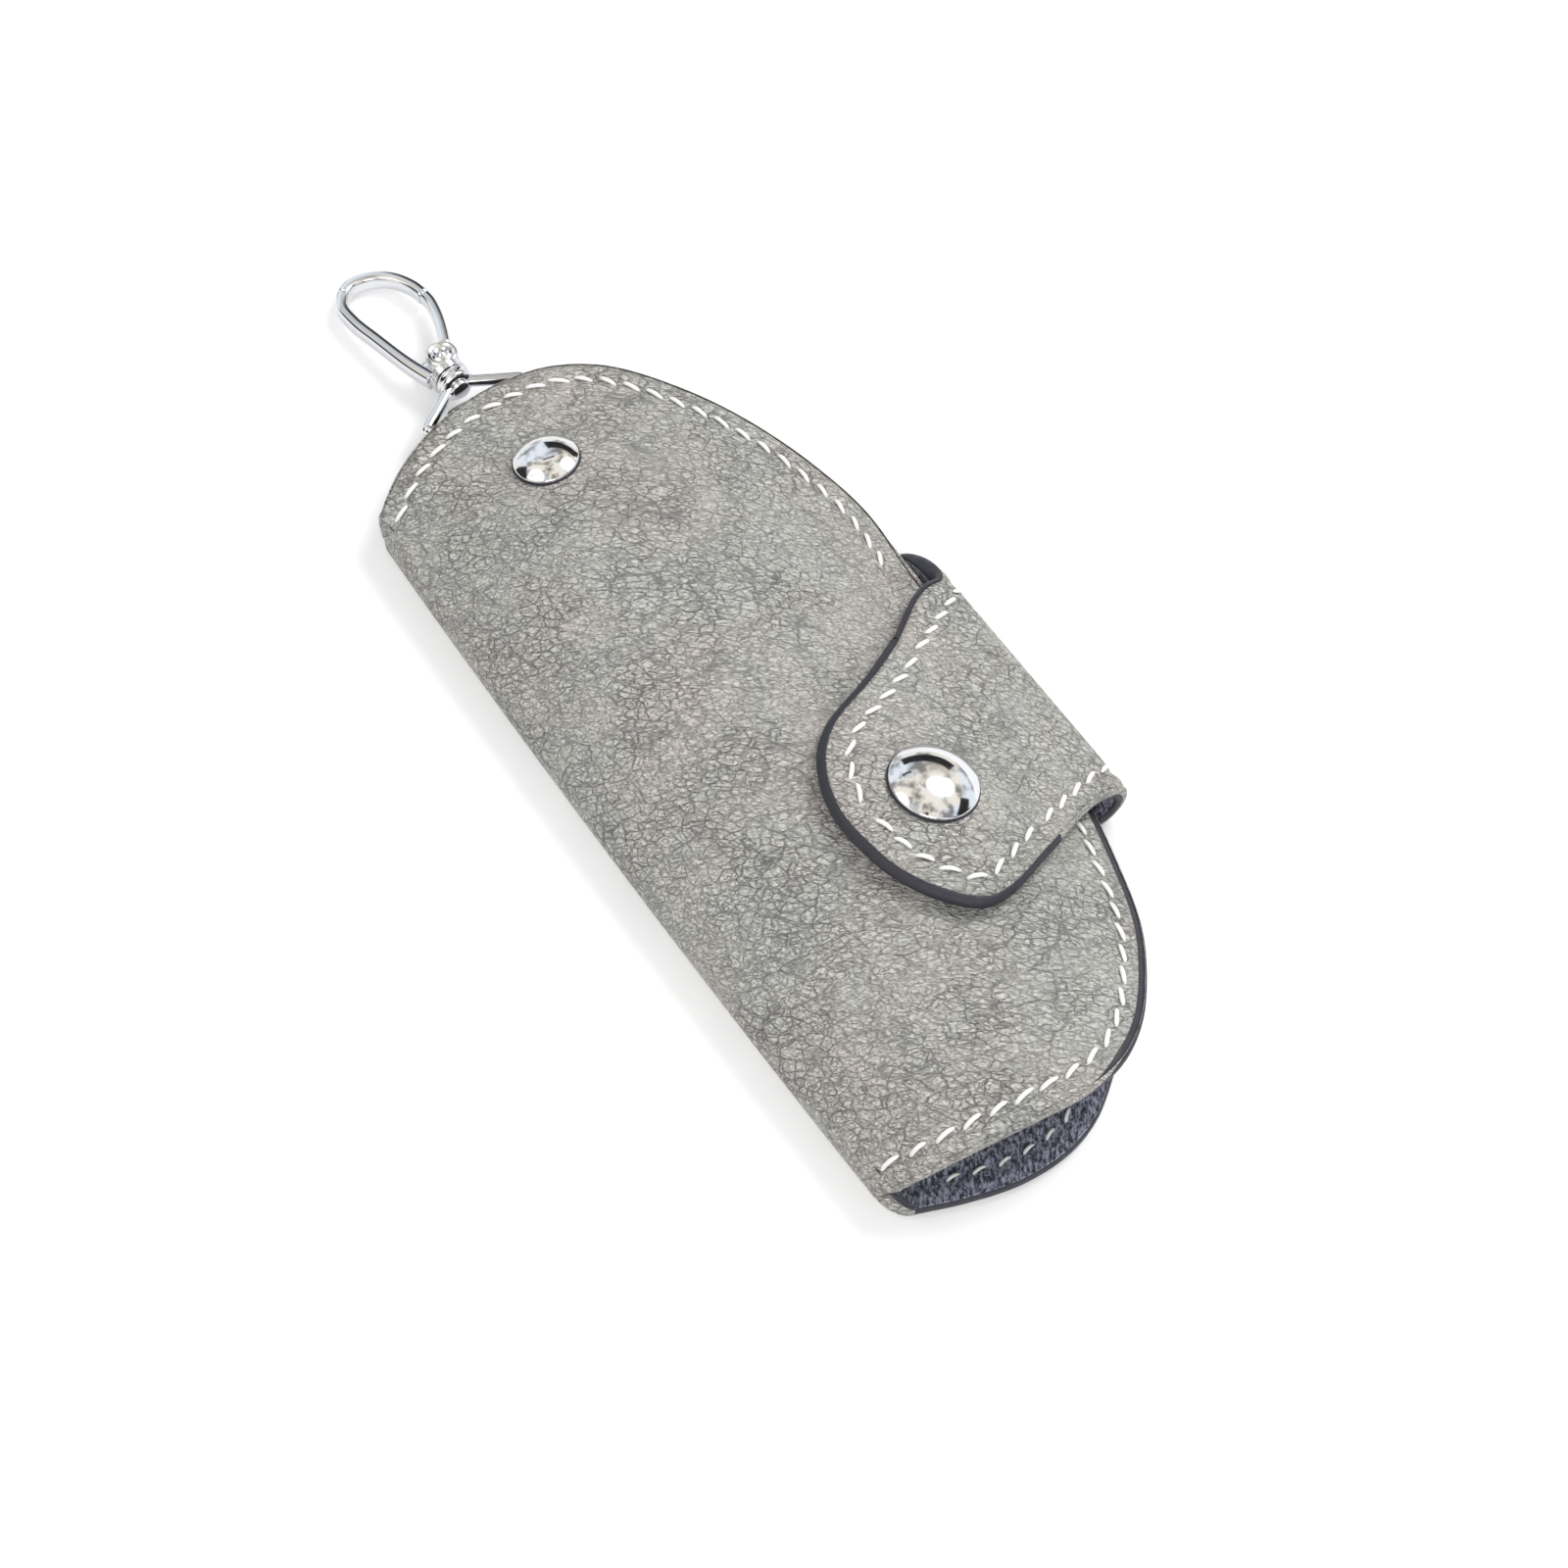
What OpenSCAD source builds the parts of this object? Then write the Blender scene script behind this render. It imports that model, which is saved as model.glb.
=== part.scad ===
// Folded half-moon key pouch with a snapped closing strap, a riveted key band and a swivel clasp.
// Millimetres. X runs from the fold to the open edge, Y towards the clasp, Z up.
// The back panel lies flat on Z = 0, and the origin is at the middle of its resting face.

/* [Leather] */
// Thickness of the outer leather
leather_t = 1.3; // [1:0.1:1.5]
// Thickness of the suede lining
lining_t = 0.9; // [0.6:0.1:1]

/* [Pouch] */
// Length of the fold between its two notched ends
fold_len = 114.4; // [105:0.1:125]
// Width of the closed front, from the fold to its open edge
pouch_w = 58.8; // [57:0.1:60]
// Outer radius of the fold
fold_r = 4; // [3.6:0.1:4.4]
// Rise of the front where it leaves the fold, along the body
fold_rise_angle = 40; // [36:1:44]
// Fall of the front at its open edge, along the body
edge_fall_angle = 26; // [23:1:28]
// Height of the front's open edge, along the body
edge_z = 4.9; // [4.7:0.1:5.3]
// Rise of the front where it leaves the fold, at the clasp end
end_rise_angle = 14; // [12:1:18]
// Fall of the front at its open edge, at the clasp end
end_fall_angle = 9; // [7:1:12]
// Height of the front's open edge, at the clasp end
end_edge_z = 6.2; // [5.6:0.1:6.8]

/* [Closing strap] */
// Gap between the strap and the front where they lie along each other
strap_gap = 1; // [0.9:0.05:1.1]
// Outer radius of the strap where it wraps round the open edge
wrap_r = 4.5; // [4.4:0.05:4.6]

/* [Snap fastener] */
// Diameter of the domed cap on the strap
snap_cap_d = 12.3; // [11.5:0.1:13.5]
// Height of the domed cap
snap_cap_h = 2.4; // [2:0.1:2.8]
// Radius of the stud that enters the socket
stud_r = 2; // [1.7:0.1:2.1]
// Height of the stud above the front
stud_h = 1.3; // [1.2:0.05:1.4]
// Radius of the socket's bore
socket_r = 2.95; // [2.9:0.05:3.1]
// Outer radius of the flanges of the socket and the stud
flange_r = 4.7; // [4.4:0.1:5]
// Thickness of the flange of the socket
flange_t = 0.4; // [0.35:0.05:0.42]

/* [Rivet] */
// Diameter of the domed rivet cap
rivet_cap_d = 9.4; // [9:0.1:11]
// Height of the domed rivet cap
rivet_cap_h = 2; // [1.6:0.1:2.4]
// Radius of the rivet's stem
rivet_r = 1.5; // [1.2:0.1:1.8]
// Radius of the rivet's tail
rivet_tail_r = 3.6; // [3:0.1:4]

/* [Key band] */
// Width of the band that carries the clasp and the key ring
band_w = 8.5; // [8:0.1:9]
// Thickness of the band's leather
band_t = 1; // [0.9:0.05:1.05]
// Length of the band from the rivet to its outer loop's end
band_out = 21; // [20.4:0.1:21.6]
// Length of the band from the rivet to its inner loop's end
band_in = 22; // [20:0.5:24]

/* [Key ring] */
// Outer diameter of the split key ring
ring_d = 28; // [26:0.5:30]
// Width of the split ring's wire
ring_wire_w = 2.4; // [2:0.1:2.6]
// Height of the split ring's two turns together
ring_wire_h = 1.7; // [1.5:0.05:1.75]

/* [Swivel clasp] */
// Diameter of the wire of the bail
bail_wire_d = 1.8; // [1.6:0.1:1.85]
// Width of the bail between the middles of its sides
bail_w = 15.6; // [14.8:0.1:16.4]
// Distance from the bail's bar to the middle of its hub
bail_len = 6.4; // [6.2:0.1:6.8]
// Radius of the swivel's post
post_r = 1.2; // [1:0.05:1.3]
// Length of the clasp from the hub's middle to its tip
clasp_len = 26.8; // [25.5:0.1:28]
// Width of the clasp's loop
clasp_w = 13.2; // [12.5:0.1:14]
// Thickness of the clasp
clasp_t = 2.6; // [2.4:0.1:3]
// Width of the metal of the clasp's arms
arm_w = 1.9; // [1.8:0.1:2.1]
// Radius of the gate's pin
gate_pin_r = 0.9; // [0.7:0.05:1]
// Radius of the round heads of the gate's pin
rosette_r = 2.4; // [2.2:0.1:2.8]

/* [Stitching] */
// Distance of the stitches from the leather's edge
stitch_margin = 3; // [2.5:0.1:3.5]
// Distance from one stitch to the next
stitch_pitch = 3.5; // [3:0.1:4]
// Length of one stitch
stitch_len = 2.6; // [2:0.1:2.8]
// Thickness of the thread
thread_d = 0.6; // [0.4:0.05:0.7]

/* [Hidden] */

leather_colour = "#9a9a93";
lining_colour = "#3d3f52";
thread_colour = "#f4f2ea";
metal_colour = "#c9ccd1";
band_colour = "#1b1b1e";

wall_t = leather_t + lining_t;
// Clearance of every stem in its hole
stem_fit = 0.05;
// Gap kept between parts that move on each other
run_gap = 0.3;
// Overrun of every cut
cut = 1;
// Steps of the grids that make the panels
cols = 24;
rows = 16;
strap_cols = 14;
arc_steps = 12;
round_fn = 48;

// Outlines of the front, as shares of pouch_w and fold_len: the end with the mouth, then the end with the clasp
low_shares = [
    [0.024, -0.032], [0.110, -0.048], [0.220, -0.063], [0.340, -0.075], [0.460, -0.080],
    [0.570, -0.069], [0.670, -0.037], [0.762, 0.015], [0.835, 0.073], [0.892, 0.150],
    [0.945, 0.245], [0.965, 0.350]];
high_shares = [
    [0.024, 1.047], [0.110, 1.077], [0.220, 1.101], [0.340, 1.114], [0.460, 1.115],
    [0.580, 1.103], [0.700, 1.064], [0.815, 0.985], [0.905, 0.900], [0.967, 0.815],
    [0.998, 0.725], [0.978, 0.615]];
// Outlines of the back, on the same shares
back_low_shares = [
    [0.060, -0.050], [0.170, -0.072], [0.289, -0.088], [0.408, -0.089], [0.510, -0.073],
    [0.604, -0.040], [0.697, -0.002], [0.782, 0.044], [0.850, 0.100], [0.905, 0.170],
    [0.940, 0.254], [0.961, 0.350]];
back_high_shares = [
    [0.060, 1.060], [0.170, 1.098], [0.289, 1.119], [0.408, 1.128], [0.527, 1.124],
    [0.646, 1.098], [0.757, 1.045], [0.850, 0.966], [0.927, 0.874], [0.969, 0.782],
    [0.986, 0.699], [0.975, 0.612]];
// Outlines of the strap from its tip, on the same shares: the side towards the mouth, then the side towards the clasp
strap_low_shares = [
    [0.392, 0.310], [0.408, 0.255], [0.440, 0.212], [0.484, 0.179], [0.530, 0.161],
    [0.580, 0.160], [0.640, 0.169], [0.700, 0.182], [0.770, 0.196]];
strap_high_shares = [
    [0.392, 0.340], [0.410, 0.378], [0.448, 0.415], [0.500, 0.440], [0.555, 0.455],
    [0.610, 0.467], [0.665, 0.481], [0.715, 0.496], [0.770, 0.513]];
// The strap's two sides where it meets the back panel, as shares of fold_len
strap_root_shares = [0.228, 0.575];
// Start and end of the stretch along which the front flattens towards the clasp end, as shares of fold_len
flatten_shares = [0.80, 1.14];
// Place along the strap where it leaves the front, and where it starts to bend, as shares of pouch_w
leave_share = 0.752;
bend_share = 0.770;
// Places of the snap and of the rivet, as shares of pouch_w and fold_len
snap_shares = [0.594, 0.316];
rivet_shares = [0.397, 0.968];

function mix(a, b, k) = a + (b - a) * k;
function smooth(k) = let(c = max(0, min(1, k))) c * c * (3 - 2 * c);
function flat(l) = [for (a = l) for (b = a) b];
function unit(v) = v / norm(v);

// Catmull-Rom curve through a list of points, at k from 0 to 1
function ends(p, i) = let(n = len(p) - 1) i < 0 ? 2 * p[0] - p[1] : i > n ? 2 * p[n] - p[n - 1] : p[i];
function curve(p, k) =
    let(n = len(p) - 1, s = min(n * k, n), i = min(floor(s), n - 1), u = s - i,
        a = ends(p, i - 1), b = p[i], c = p[i + 1], d = ends(p, i + 2))
    0.5 * (2 * b + (c - a) * u + (2 * a - 5 * b + 4 * c - d) * u * u + (3 * b - a - 3 * c + d) * u * u * u);
function sized(shares) = [for (s = shares) [s[0] * pouch_w, s[1] * fold_len]];

low = sized(low_shares);
high = sized(high_shares);
back_low = sized(back_low_shares);
back_high = sized(back_high_shares);
strap_low = sized(strap_low_shares);
strap_high = sized(strap_high_shares);

// Place of the open edge, as a share of pouch_w
edge_x_share = 0.975;
edge_x = pouch_w * edge_x_share;
// Section of the front at y: a cubic from the fold's circle to the open edge
function ease(y) = smooth((y / fold_len - flatten_shares[0]) / (flatten_shares[1] - flatten_shares[0]));
function rise(y) = mix(fold_rise_angle, end_rise_angle, ease(y));
function start_x(y) = fold_r - fold_r * sin(rise(y));
function section(y) =
    let(a = rise(y), x0 = start_x(y))
    [x0, fold_r + fold_r * cos(a), tan(a),
        edge_x, mix(edge_z, end_edge_z, ease(y)), -tan(mix(edge_fall_angle, end_fall_angle, ease(y)))];
function cubic(s, x) =
    let(l = s[3] - s[0], u = (x - s[0]) / l)
    (2 * u * u * u - 3 * u * u + 1) * s[1] + (u * u * u - 2 * u * u + u) * l * s[2]
    + (3 * u * u - 2 * u * u * u) * s[4] + (u * u * u - u * u) * l * s[5];
function cubic_slope(s, x) =
    let(l = s[3] - s[0], u = (x - s[0]) / l)
    (6 * u * u - 6 * u) * (s[1] - s[4]) / l + (3 * u * u - 4 * u + 1) * s[2] + (3 * u * u - 2 * u) * s[5];
function circle_z(x) = fold_r + sqrt(fold_r * fold_r - (x - fold_r) * (x - fold_r));
function front_z(x, y) =
    let(s = section(y)) x < s[0] ? circle_z(x) : x > s[3] ? s[4] + s[5] * (x - s[3]) : cubic(s, x);
function front_slope(x, y) =
    let(s = section(y)) x < s[0] ? (fold_r - x) / (circle_z(x) - fold_r) : x > s[3] ? s[5] : cubic_slope(s, x);
// Point at a height off the front's outer face, measured square to the section
function front_at(x, y, off) =
    let(d = front_slope(x, y), q = sqrt(1 + d * d)) [x - off * d / q, y, front_z(x, y) + off / q];

// The strap's section: along the front, then straight, then round the open edge down to the back panel
bend_x = bend_share * pouch_w;
mid_y = fold_len * (strap_root_shares[0] + strap_root_shares[1]) / 2;
strap_top = strap_gap + wall_t;
leave_x = leave_share * pouch_w;
leave_fall = -atan(front_slope(leave_x, mid_y));
leave_at = front_at(leave_x, mid_y, strap_top);
wrap_x = (leave_at[0] * sin(leave_fall) + leave_at[2] * cos(leave_fall) - wrap_r - wrap_r * cos(leave_fall))
    / sin(leave_fall);
line_end = leave_x + (wrap_x + wrap_r * sin(leave_fall) - leave_at[0]) / cos(leave_fall);
function line_at(x, y, off) = let(q = front_at(leave_x, y, off), d = x - leave_x)
    [q[0] + d * cos(leave_fall), y, q[2] - d * sin(leave_fall)];
function strap_at(x, y, off) = x <= leave_x ? front_at(x, y, off) : line_at(x, y, off);
function wrap_at(a, y, off) = let(r = wrap_r - strap_top + off) [wrap_x + r * cos(a), y, wrap_r + r * sin(a)];

// Closed sheet between an outer and an inner grid of points
module sheet(outer, inner) {
    n = len(outer);
    m = len(outer[0]);
    function at(i, j) = i * m + j;
    function under(i, j) = n * m + at(i, j);
    function quad(a, b, c, d) = [[a, b, c], [a, c, d]];
    polyhedron(concat(flat(outer), flat(inner)), concat(
        flat([for (i = [0:n - 2]) for (j = [0:m - 2])
            quad(at(i, j), at(i, j + 1), at(i + 1, j + 1), at(i + 1, j))]),
        flat([for (i = [0:n - 2]) for (j = [0:m - 2])
            quad(under(i, j), under(i + 1, j), under(i + 1, j + 1), under(i, j + 1))]),
        flat([for (i = [0:n - 2]) quad(at(i, 0), at(i + 1, 0), under(i + 1, 0), under(i, 0))]),
        flat([for (i = [0:n - 2]) quad(at(i + 1, m - 1), at(i, m - 1), under(i, m - 1), under(i + 1, m - 1))]),
        flat([for (j = [0:m - 2]) quad(at(0, j + 1), at(0, j), under(0, j), under(0, j + 1))]),
        flat([for (j = [0:m - 2])
            quad(at(n - 1, j), at(n - 1, j + 1), under(n - 1, j + 1), under(n - 1, j))])));
}

// Moves the pouch so that the middle of its resting face is at the origin
module placed() translate([-pouch_w / 2, -fold_len / 2, 0]) children();

// Stands children on a face: at a point, with Z along the face's normal
module on_face(p, n) {
    x = unit(cross([0, 1, 0], n));
    y = cross(n, x);
    multmatrix([
        [x[0], y[0], n[0], p[0]], [x[1], y[1], n[1], p[1]], [x[2], y[2], n[2], p[2]], [0, 0, 0, 1]])
        children();
}
probe = fold_r / 8;
function face_normal(x, y) =
    let(d = front_slope(x, y), e = (front_z(x, y + probe) - front_z(x, y - probe)) / (2 * probe))
    unit([-d, -e, 1]);

snap_x = snap_shares[0] * pouch_w;
snap_y = snap_shares[1] * fold_len;
snap_n = face_normal(snap_x, snap_y);
snap_p = front_at(snap_x, snap_y, 0);
rivet_x = rivet_shares[0] * pouch_w;
rivet_y = rivet_shares[1] * fold_len;
rivet_n = face_normal(rivet_x, rivet_y);
rivet_p = front_at(rivet_x, rivet_y, 0);

module front_panel(top, bottom) {
    function grid(off) = [for (i = [0:cols]) let(a = curve(low, i / cols), b = curve(high, i / cols))
        [for (j = [0:rows]) let(p = mix(a, b, j / rows)) front_at(p[0], p[1], off)]];
    sheet(grid(top), grid(bottom));
}

module snap_hole(r) on_face(snap_p, snap_n)
    cylinder(r = r, h = strap_top * 4, center = true, $fn = round_fn);
module rivet_hole() on_face(rivet_p, rivet_n)
    cylinder(r = rivet_r + stem_fit, h = 4 * band_under, center = true, $fn = round_fn);

module front_leather() color(leather_colour) placed() difference() {
    front_panel(0, -leather_t);
    snap_hole(stud_r + stem_fit);
    rivet_hole();
}

module front_lining() color(lining_colour) placed() difference() {
    front_panel(-leather_t, -wall_t);
    snap_hole(stud_r + stem_fit);
    rivet_hole();
}

function tangent(p, k) = let(e = 1 / cols / 4) unit(curve(p, min(1, k + e)) - curve(p, max(0, k - e)));
function moved(p, k, d) = let(t = tangent(p, k)) curve(p, k) + d * [t[1], -t[0]];
back_points = concat(
    [for (i = [0:cols]) curve(back_low, i / cols)],
    [for (i = [0:cols]) curve(back_high, 1 - i / cols)]);
// Where the back's outline crosses the end of the fold
function cross_y(p, x, i = 0) =
    let(a = curve(p, i / cols), b = curve(p, (i + 1) / cols))
    b[0] >= x ? mix(a[1], b[1], (x - a[0]) / (b[0] - a[0])) : cross_y(p, x, i + 1);
back_low_y = cross_y(back_low, fold_r);
back_high_y = cross_y(back_high, fold_r);

// The slot in the back's open edge where the strap's root joins it
root_y = fold_len * strap_root_shares;
module back_panel(z, t) translate([0, 0, z]) linear_extrude(t) difference() {
    polygon(back_points);
    translate([-fold_r, -fold_len]) square([2 * fold_r, 3 * fold_len]);
    translate([wrap_x, root_y[0]]) square([pouch_w, root_y[1] - root_y[0]]);
}

module back_leather() color(leather_colour) placed() back_panel(0, leather_t);
module back_lining() color(lining_colour) placed() back_panel(leather_t, lining_t);

// The fold: a bent sheet from the back panel round to the front, notched at both ends
seam_gap = 0.05;
front_start = 180 - acos((fold_r - low[0][0]) / fold_r);
seam_turn = 180 / PI * seam_gap / fold_r;
module spine(top, bottom) {
    function span(a) = a > 180
        ? let(k = sin(a - 180)) [mix(0, back_low_y, k), mix(fold_len, back_high_y, k)]
        : let(k = sin(90 * (180 - a) / (180 - front_start)))
            [mix(0, low[0][1], k), mix(fold_len, high[0][1], k)];
    function grid(r) = [for (i = [0:2 * arc_steps])
        let(
            k = i / arc_steps,
            a = k < 1 ? mix(270, 180, k) : mix(180, front_start + seam_turn, k - 1),
            y = span(a))
        [for (j = [0:2]) [fold_r + r * cos(a), mix(y[0], y[1], j / 2), fold_r + r * sin(a)]]];
    sheet(grid(fold_r - top), grid(fold_r - bottom));
}
module spine_leather() color(leather_colour) placed() spine(0, leather_t);
module spine_lining() color(lining_colour) placed() spine(leather_t, wall_t);

module strap_panel(top, bottom) {
    function grid(off) = [for (i = [0:strap_cols])
        let(a = curve(strap_low, i / strap_cols), b = curve(strap_high, i / strap_cols))
        [for (j = [0:rows]) let(p = mix(a, b, j / rows)) strap_at(p[0], p[1], off)]];
    sheet(grid(top), grid(bottom));
}
module strap_leather() color(leather_colour) placed() difference() {
    strap_panel(strap_top, strap_top - leather_t);
    snap_hole(socket_r + flange_t);
}
module strap_lining() color(lining_colour) placed() difference() {
    strap_panel(strap_top - leather_t, strap_gap);
    snap_hole(socket_r + flange_t + stem_fit);
}

// The strap's flexible root: straight on from the strap, then round the open edge to the back panel
module strap_bend(top, bottom) {
    end_y = [strap_low[len(strap_low) - 1][1], strap_high[len(strap_high) - 1][1]];
    function side(k, v) = let(e = smooth(k)) mix(mix(end_y[0], root_y[0], e), mix(end_y[1], root_y[1], e), v);
    function grid(off) = concat(
        [for (i = [0:strap_cols / 2 - 1]) let(k = 2 * i / strap_cols)
            [for (j = [0:rows / 2]) strap_at(mix(bend_x + seam_gap, line_end, k), side(k, 2 * j / rows), off)]],
        [for (i = [0:arc_steps])
            [for (j = [0:rows / 2])
                wrap_at(mix(90 - leave_fall, -90, i / arc_steps), side(1, 2 * j / rows), off)]]);
    sheet(grid(top), grid(bottom));
}
module strap_bend_leather() color(leather_colour) placed() strap_bend(strap_top, strap_top - leather_t);
module strap_bend_lining() color(lining_colour) placed() strap_bend(strap_top - leather_t, strap_gap);

// Stitches: short bars of thread that lie on a face at even steps along a curve
function lengths(p, d, n, i = 0, sum = 0) =
    i > n ? [] : let(step = norm(moved(p, min(1, (i + 1) / n), d) - moved(p, i / n, d)))
        concat([sum], lengths(p, d, n, i + 1, sum + step));
function share_at(l, want, i = 0) =
    i >= len(l) - 2 || l[i + 1] >= want
        ? (i + (want - l[i]) / (l[i + 1] - l[i])) / (len(l) - 1) : share_at(l, want, i + 1);
module stitches(p, inset, place, skip) {
    l = lengths(p, inset, 2 * cols);
    count = floor((l[2 * cols] - skip) / stitch_pitch);
    for (i = [0:count - 1]) {
        k = share_at(l, skip + (i + 0.5) * stitch_pitch);
        stitch(moved(p, k, inset), tangent(p, k), place);
    }
}
// Gap that clears the curve of the leather under a straight stitch
stitch_lift = thread_d / 4;
// One stitch on the outer face of the front or the strap, or on the lining of the back
module stitch(q, t, place) {
    past = place == "strap" && q[0] > leave_x;
    at = place == "front" ? front_at(q[0], q[1], 0)
        : place == "strap" ? strap_at(q[0], q[1], strap_top) : [q[0], q[1], wall_t];
    up = place == "back" ? [0, 0, 1]
        : past ? [sin(leave_fall), 0, cos(leave_fall)] : face_normal(q[0], q[1]);
    along = unit([t[0], t[1], -(up[0] * t[0] + up[1] * t[1]) / up[2]]);
    across = cross(up, along);
    c = at + up * (thread_d / 2 + stitch_lift);
    multmatrix([
        [along[0], across[0], up[0], c[0]], [along[1], across[1], up[1], c[1]],
        [along[2], across[2], up[2], c[2]], [0, 0, 0, 1]])
        cube([stitch_len, thread_d, thread_d], center = true);
}
module front_stitching() color(thread_colour) placed() {
    stitches(low, -stitch_margin, "front", 0);
    stitches(high, stitch_margin, "front", 0);
}
module back_stitching() color(thread_colour) placed() {
    stitches(back_low, -stitch_margin, "back", fold_r);
    stitches(back_high, stitch_margin, "back", fold_r);
}
module strap_stitching() color(thread_colour) placed() {
    stitches(strap_low, -stitch_margin, "strap", 0);
    stitches(strap_high, stitch_margin, "strap", 0);
}

// Shallow dome: a slice of a sphere on a rim
module dome(r, h) {
    ball = (r * r + h * h) / (2 * h);
    intersection() {
        translate([0, 0, h - ball]) sphere(r = ball, $fn = round_fn * 2);
        cylinder(r = r, h = h + cut, $fn = round_fn * 2);
    }
}
rim_t = 0.4;
module snap_cap() color(metal_colour) placed() on_face(snap_p + strap_top * snap_n, snap_n) {
    translate([0, 0, seat_lift]) cylinder(d = snap_cap_d, h = rim_t, $fn = round_fn);
    translate([0, 0, seat_lift + rim_t]) dome(snap_cap_d / 2, snap_cap_h - rim_t);
}
// Gap between a flat rim and the curved leather that it is set on, outside and inside
seat_lift = 0.12;
under_lift = 0.28;
// Gap between the front's lining and the key band at the rivet
band_drop = 0.9;

// The socket: a cup through the strap, with a flange under its lining
socket_low = strap_gap - under_lift - flange_t;
module snap_socket() color(metal_colour) placed() on_face(snap_p, snap_n) difference() {
    union() {
        translate([0, 0, socket_low]) cylinder(r = flange_r, h = flange_t, $fn = round_fn);
        translate([0, 0, socket_low])
            cylinder(
                r = socket_r + flange_t - stem_fit, h = strap_top + seat_lift - socket_low, $fn = round_fn);
    }
    translate([0, 0, -cut]) cylinder(r = socket_r, h = cut + strap_top - flange_t, $fn = round_fn);
}

// The stud: a button through the front, held by a flange under its lining
post_low = -wall_t - under_lift;
module snap_stud() color(metal_colour) placed() on_face(snap_p, snap_n)
    translate([0, 0, post_low]) cylinder(r = stud_r, h = stud_h - post_low, $fn = round_fn);
module snap_post() color(metal_colour) placed() on_face(snap_p, snap_n)
    translate([0, 0, post_low - flange_t]) cylinder(r = flange_r, h = flange_t, $fn = round_fn);

module rivet_cap() color(metal_colour) placed() on_face(rivet_p, rivet_n) {
    translate([0, 0, seat_lift]) cylinder(d = rivet_cap_d, h = rim_t, $fn = round_fn);
    translate([0, 0, seat_lift + rim_t]) dome(rivet_cap_d / 2, rivet_cap_h - rim_t);
    translate([0, 0, -band_under]) cylinder(r = rivet_r, h = band_under + seat_lift, $fn = round_fn);
}
// Depth of the band's lower face under the front's outer face at the rivet
band_under = wall_t + band_drop + 2 * band_t;
module rivet_tail() color(metal_colour) placed() on_face(rivet_p, rivet_n)
    translate([0, 0, -band_under - stem_fit - 2 * rim_t])
        cylinder(r = rivet_tail_r, h = 2 * rim_t, $fn = round_fn);

// The key band: a loop of leather pinched at the rivet, open at both ends
bail_slot = bail_wire_d / 2 + stem_fit;
ring_slot_share = 0.85;
ring_slot = ring_wire_h * ring_slot_share;
pinch = rivet_tail_r + rim_t;
band_fall = atan(rivet_n[1] / rivet_n[2]);
band_c = rivet_p - (wall_t + band_drop + band_t) * rivet_n;
// Height of the band's middle line, and half of the gap between its two layers
function band_z(v) = v >= -pinch ? -v * tan(band_fall)
    : pinch * tan(band_fall) * (1 - smooth((-v - pinch) / (2 * pinch)));
function band_gap(v) = v >= 0 ? bail_slot * smooth((v - pinch) / (band_out / 2 - pinch / 2))
    : ring_slot * smooth((-v - pinch) / (band_in / 2 - pinch / 2));
band_end = band_out - bail_slot - band_t;
band_start = band_in - ring_slot - band_t;
function band_line(v0, v1, side, t) =
    [for (i = [0:arc_steps]) let(v = mix(v0, v1, i / arc_steps)) [v, band_z(v) + side * (band_gap(v) + t)]];
function band_cap(v, r, a0) =
    [for (i = [1:arc_steps - 1]) let(a = a0 - 180 * i / arc_steps) [v + r * cos(a), band_z(v) + r * sin(a)]];
module band_section() difference() {
    polygon(concat(band_line(-band_start, band_end, 1, band_t), band_cap(band_end, bail_slot + band_t, 90),
        band_line(band_end, -band_start, -1, band_t), band_cap(-band_start, ring_slot + band_t, -90)));
    polygon(concat(
        band_line(pinch, band_end, 1, 0), band_cap(band_end, bail_slot, 90),
        band_line(band_end, pinch, -1, 0)));
    polygon(concat(
        band_line(-pinch, -band_start, -1, 0), band_cap(-band_start, ring_slot, -90),
        band_line(-band_start, -pinch, 1, 0)));
}
// The band lies a few degrees off the fold's direction, about the rivet
band_yaw = 1.5;
module at_band() translate(band_c) rotate([0, 0, band_yaw]) children();
module key_band() color(band_colour) placed() difference() {
    at_band() translate([-band_w / 2, 0, 0]) rotate([90, 0, 90]) linear_extrude(band_w) band_section();
    rivet_hole();
}

// The split ring: two flat turns with a groove between them, through the band's inner loop
ring_bore_r = ring_d / 2 - ring_wire_w;
ring_in = band_start - ring_wire_w / 2 - (ring_bore_r - sqrt(ring_bore_r * ring_bore_r - band_w * band_w / 4));
// Tilt that brings the ring's far side down to just above the back's lining
ring_lift = 0.45;
ring_span = ring_d - ring_wire_w / 2;
ring_drop = band_c[2] + band_z(-ring_in) - wall_t - ring_lift;
ring_tilt = asin(ring_drop / norm([ring_span, ring_wire_h / 2])) - atan(ring_wire_h / 2 / ring_span);
ring_y = -ring_in - (ring_d / 2 - ring_wire_w / 2) * cos(ring_tilt);
ring_z = band_z(-ring_in) - (ring_d / 2 - ring_wire_w / 2) * sin(ring_tilt);
groove = 0.15;
module key_ring() color(metal_colour) placed() at_band()
    translate([0, ring_y, ring_z]) rotate([ring_tilt, 0, 0]) difference() {
        rotate_extrude($fn = 2 * round_fn)
            translate([ring_d / 2 - ring_wire_w, -ring_wire_h / 2]) square([ring_wire_w, ring_wire_h]);
        rotate_extrude($fn = 2 * round_fn)
            translate([ring_d / 2 - groove, -groove / 2]) square([groove + cut, groove]);
    }

// The swivel: a bail through the band's outer loop, and a hub that the clasp turns in
clasp_fall_angle = 5.6;
bar_v = band_end - stem_fit;
module at_bar() at_band() translate([0, bar_v, band_z(bar_v)]) rotate([-clasp_fall_angle, 0, 0]) children();
module at_hub() at_bar() translate([0, bail_len, 0]) children();
hub_r = 2.7;
hub_len = 2.2;
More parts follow.
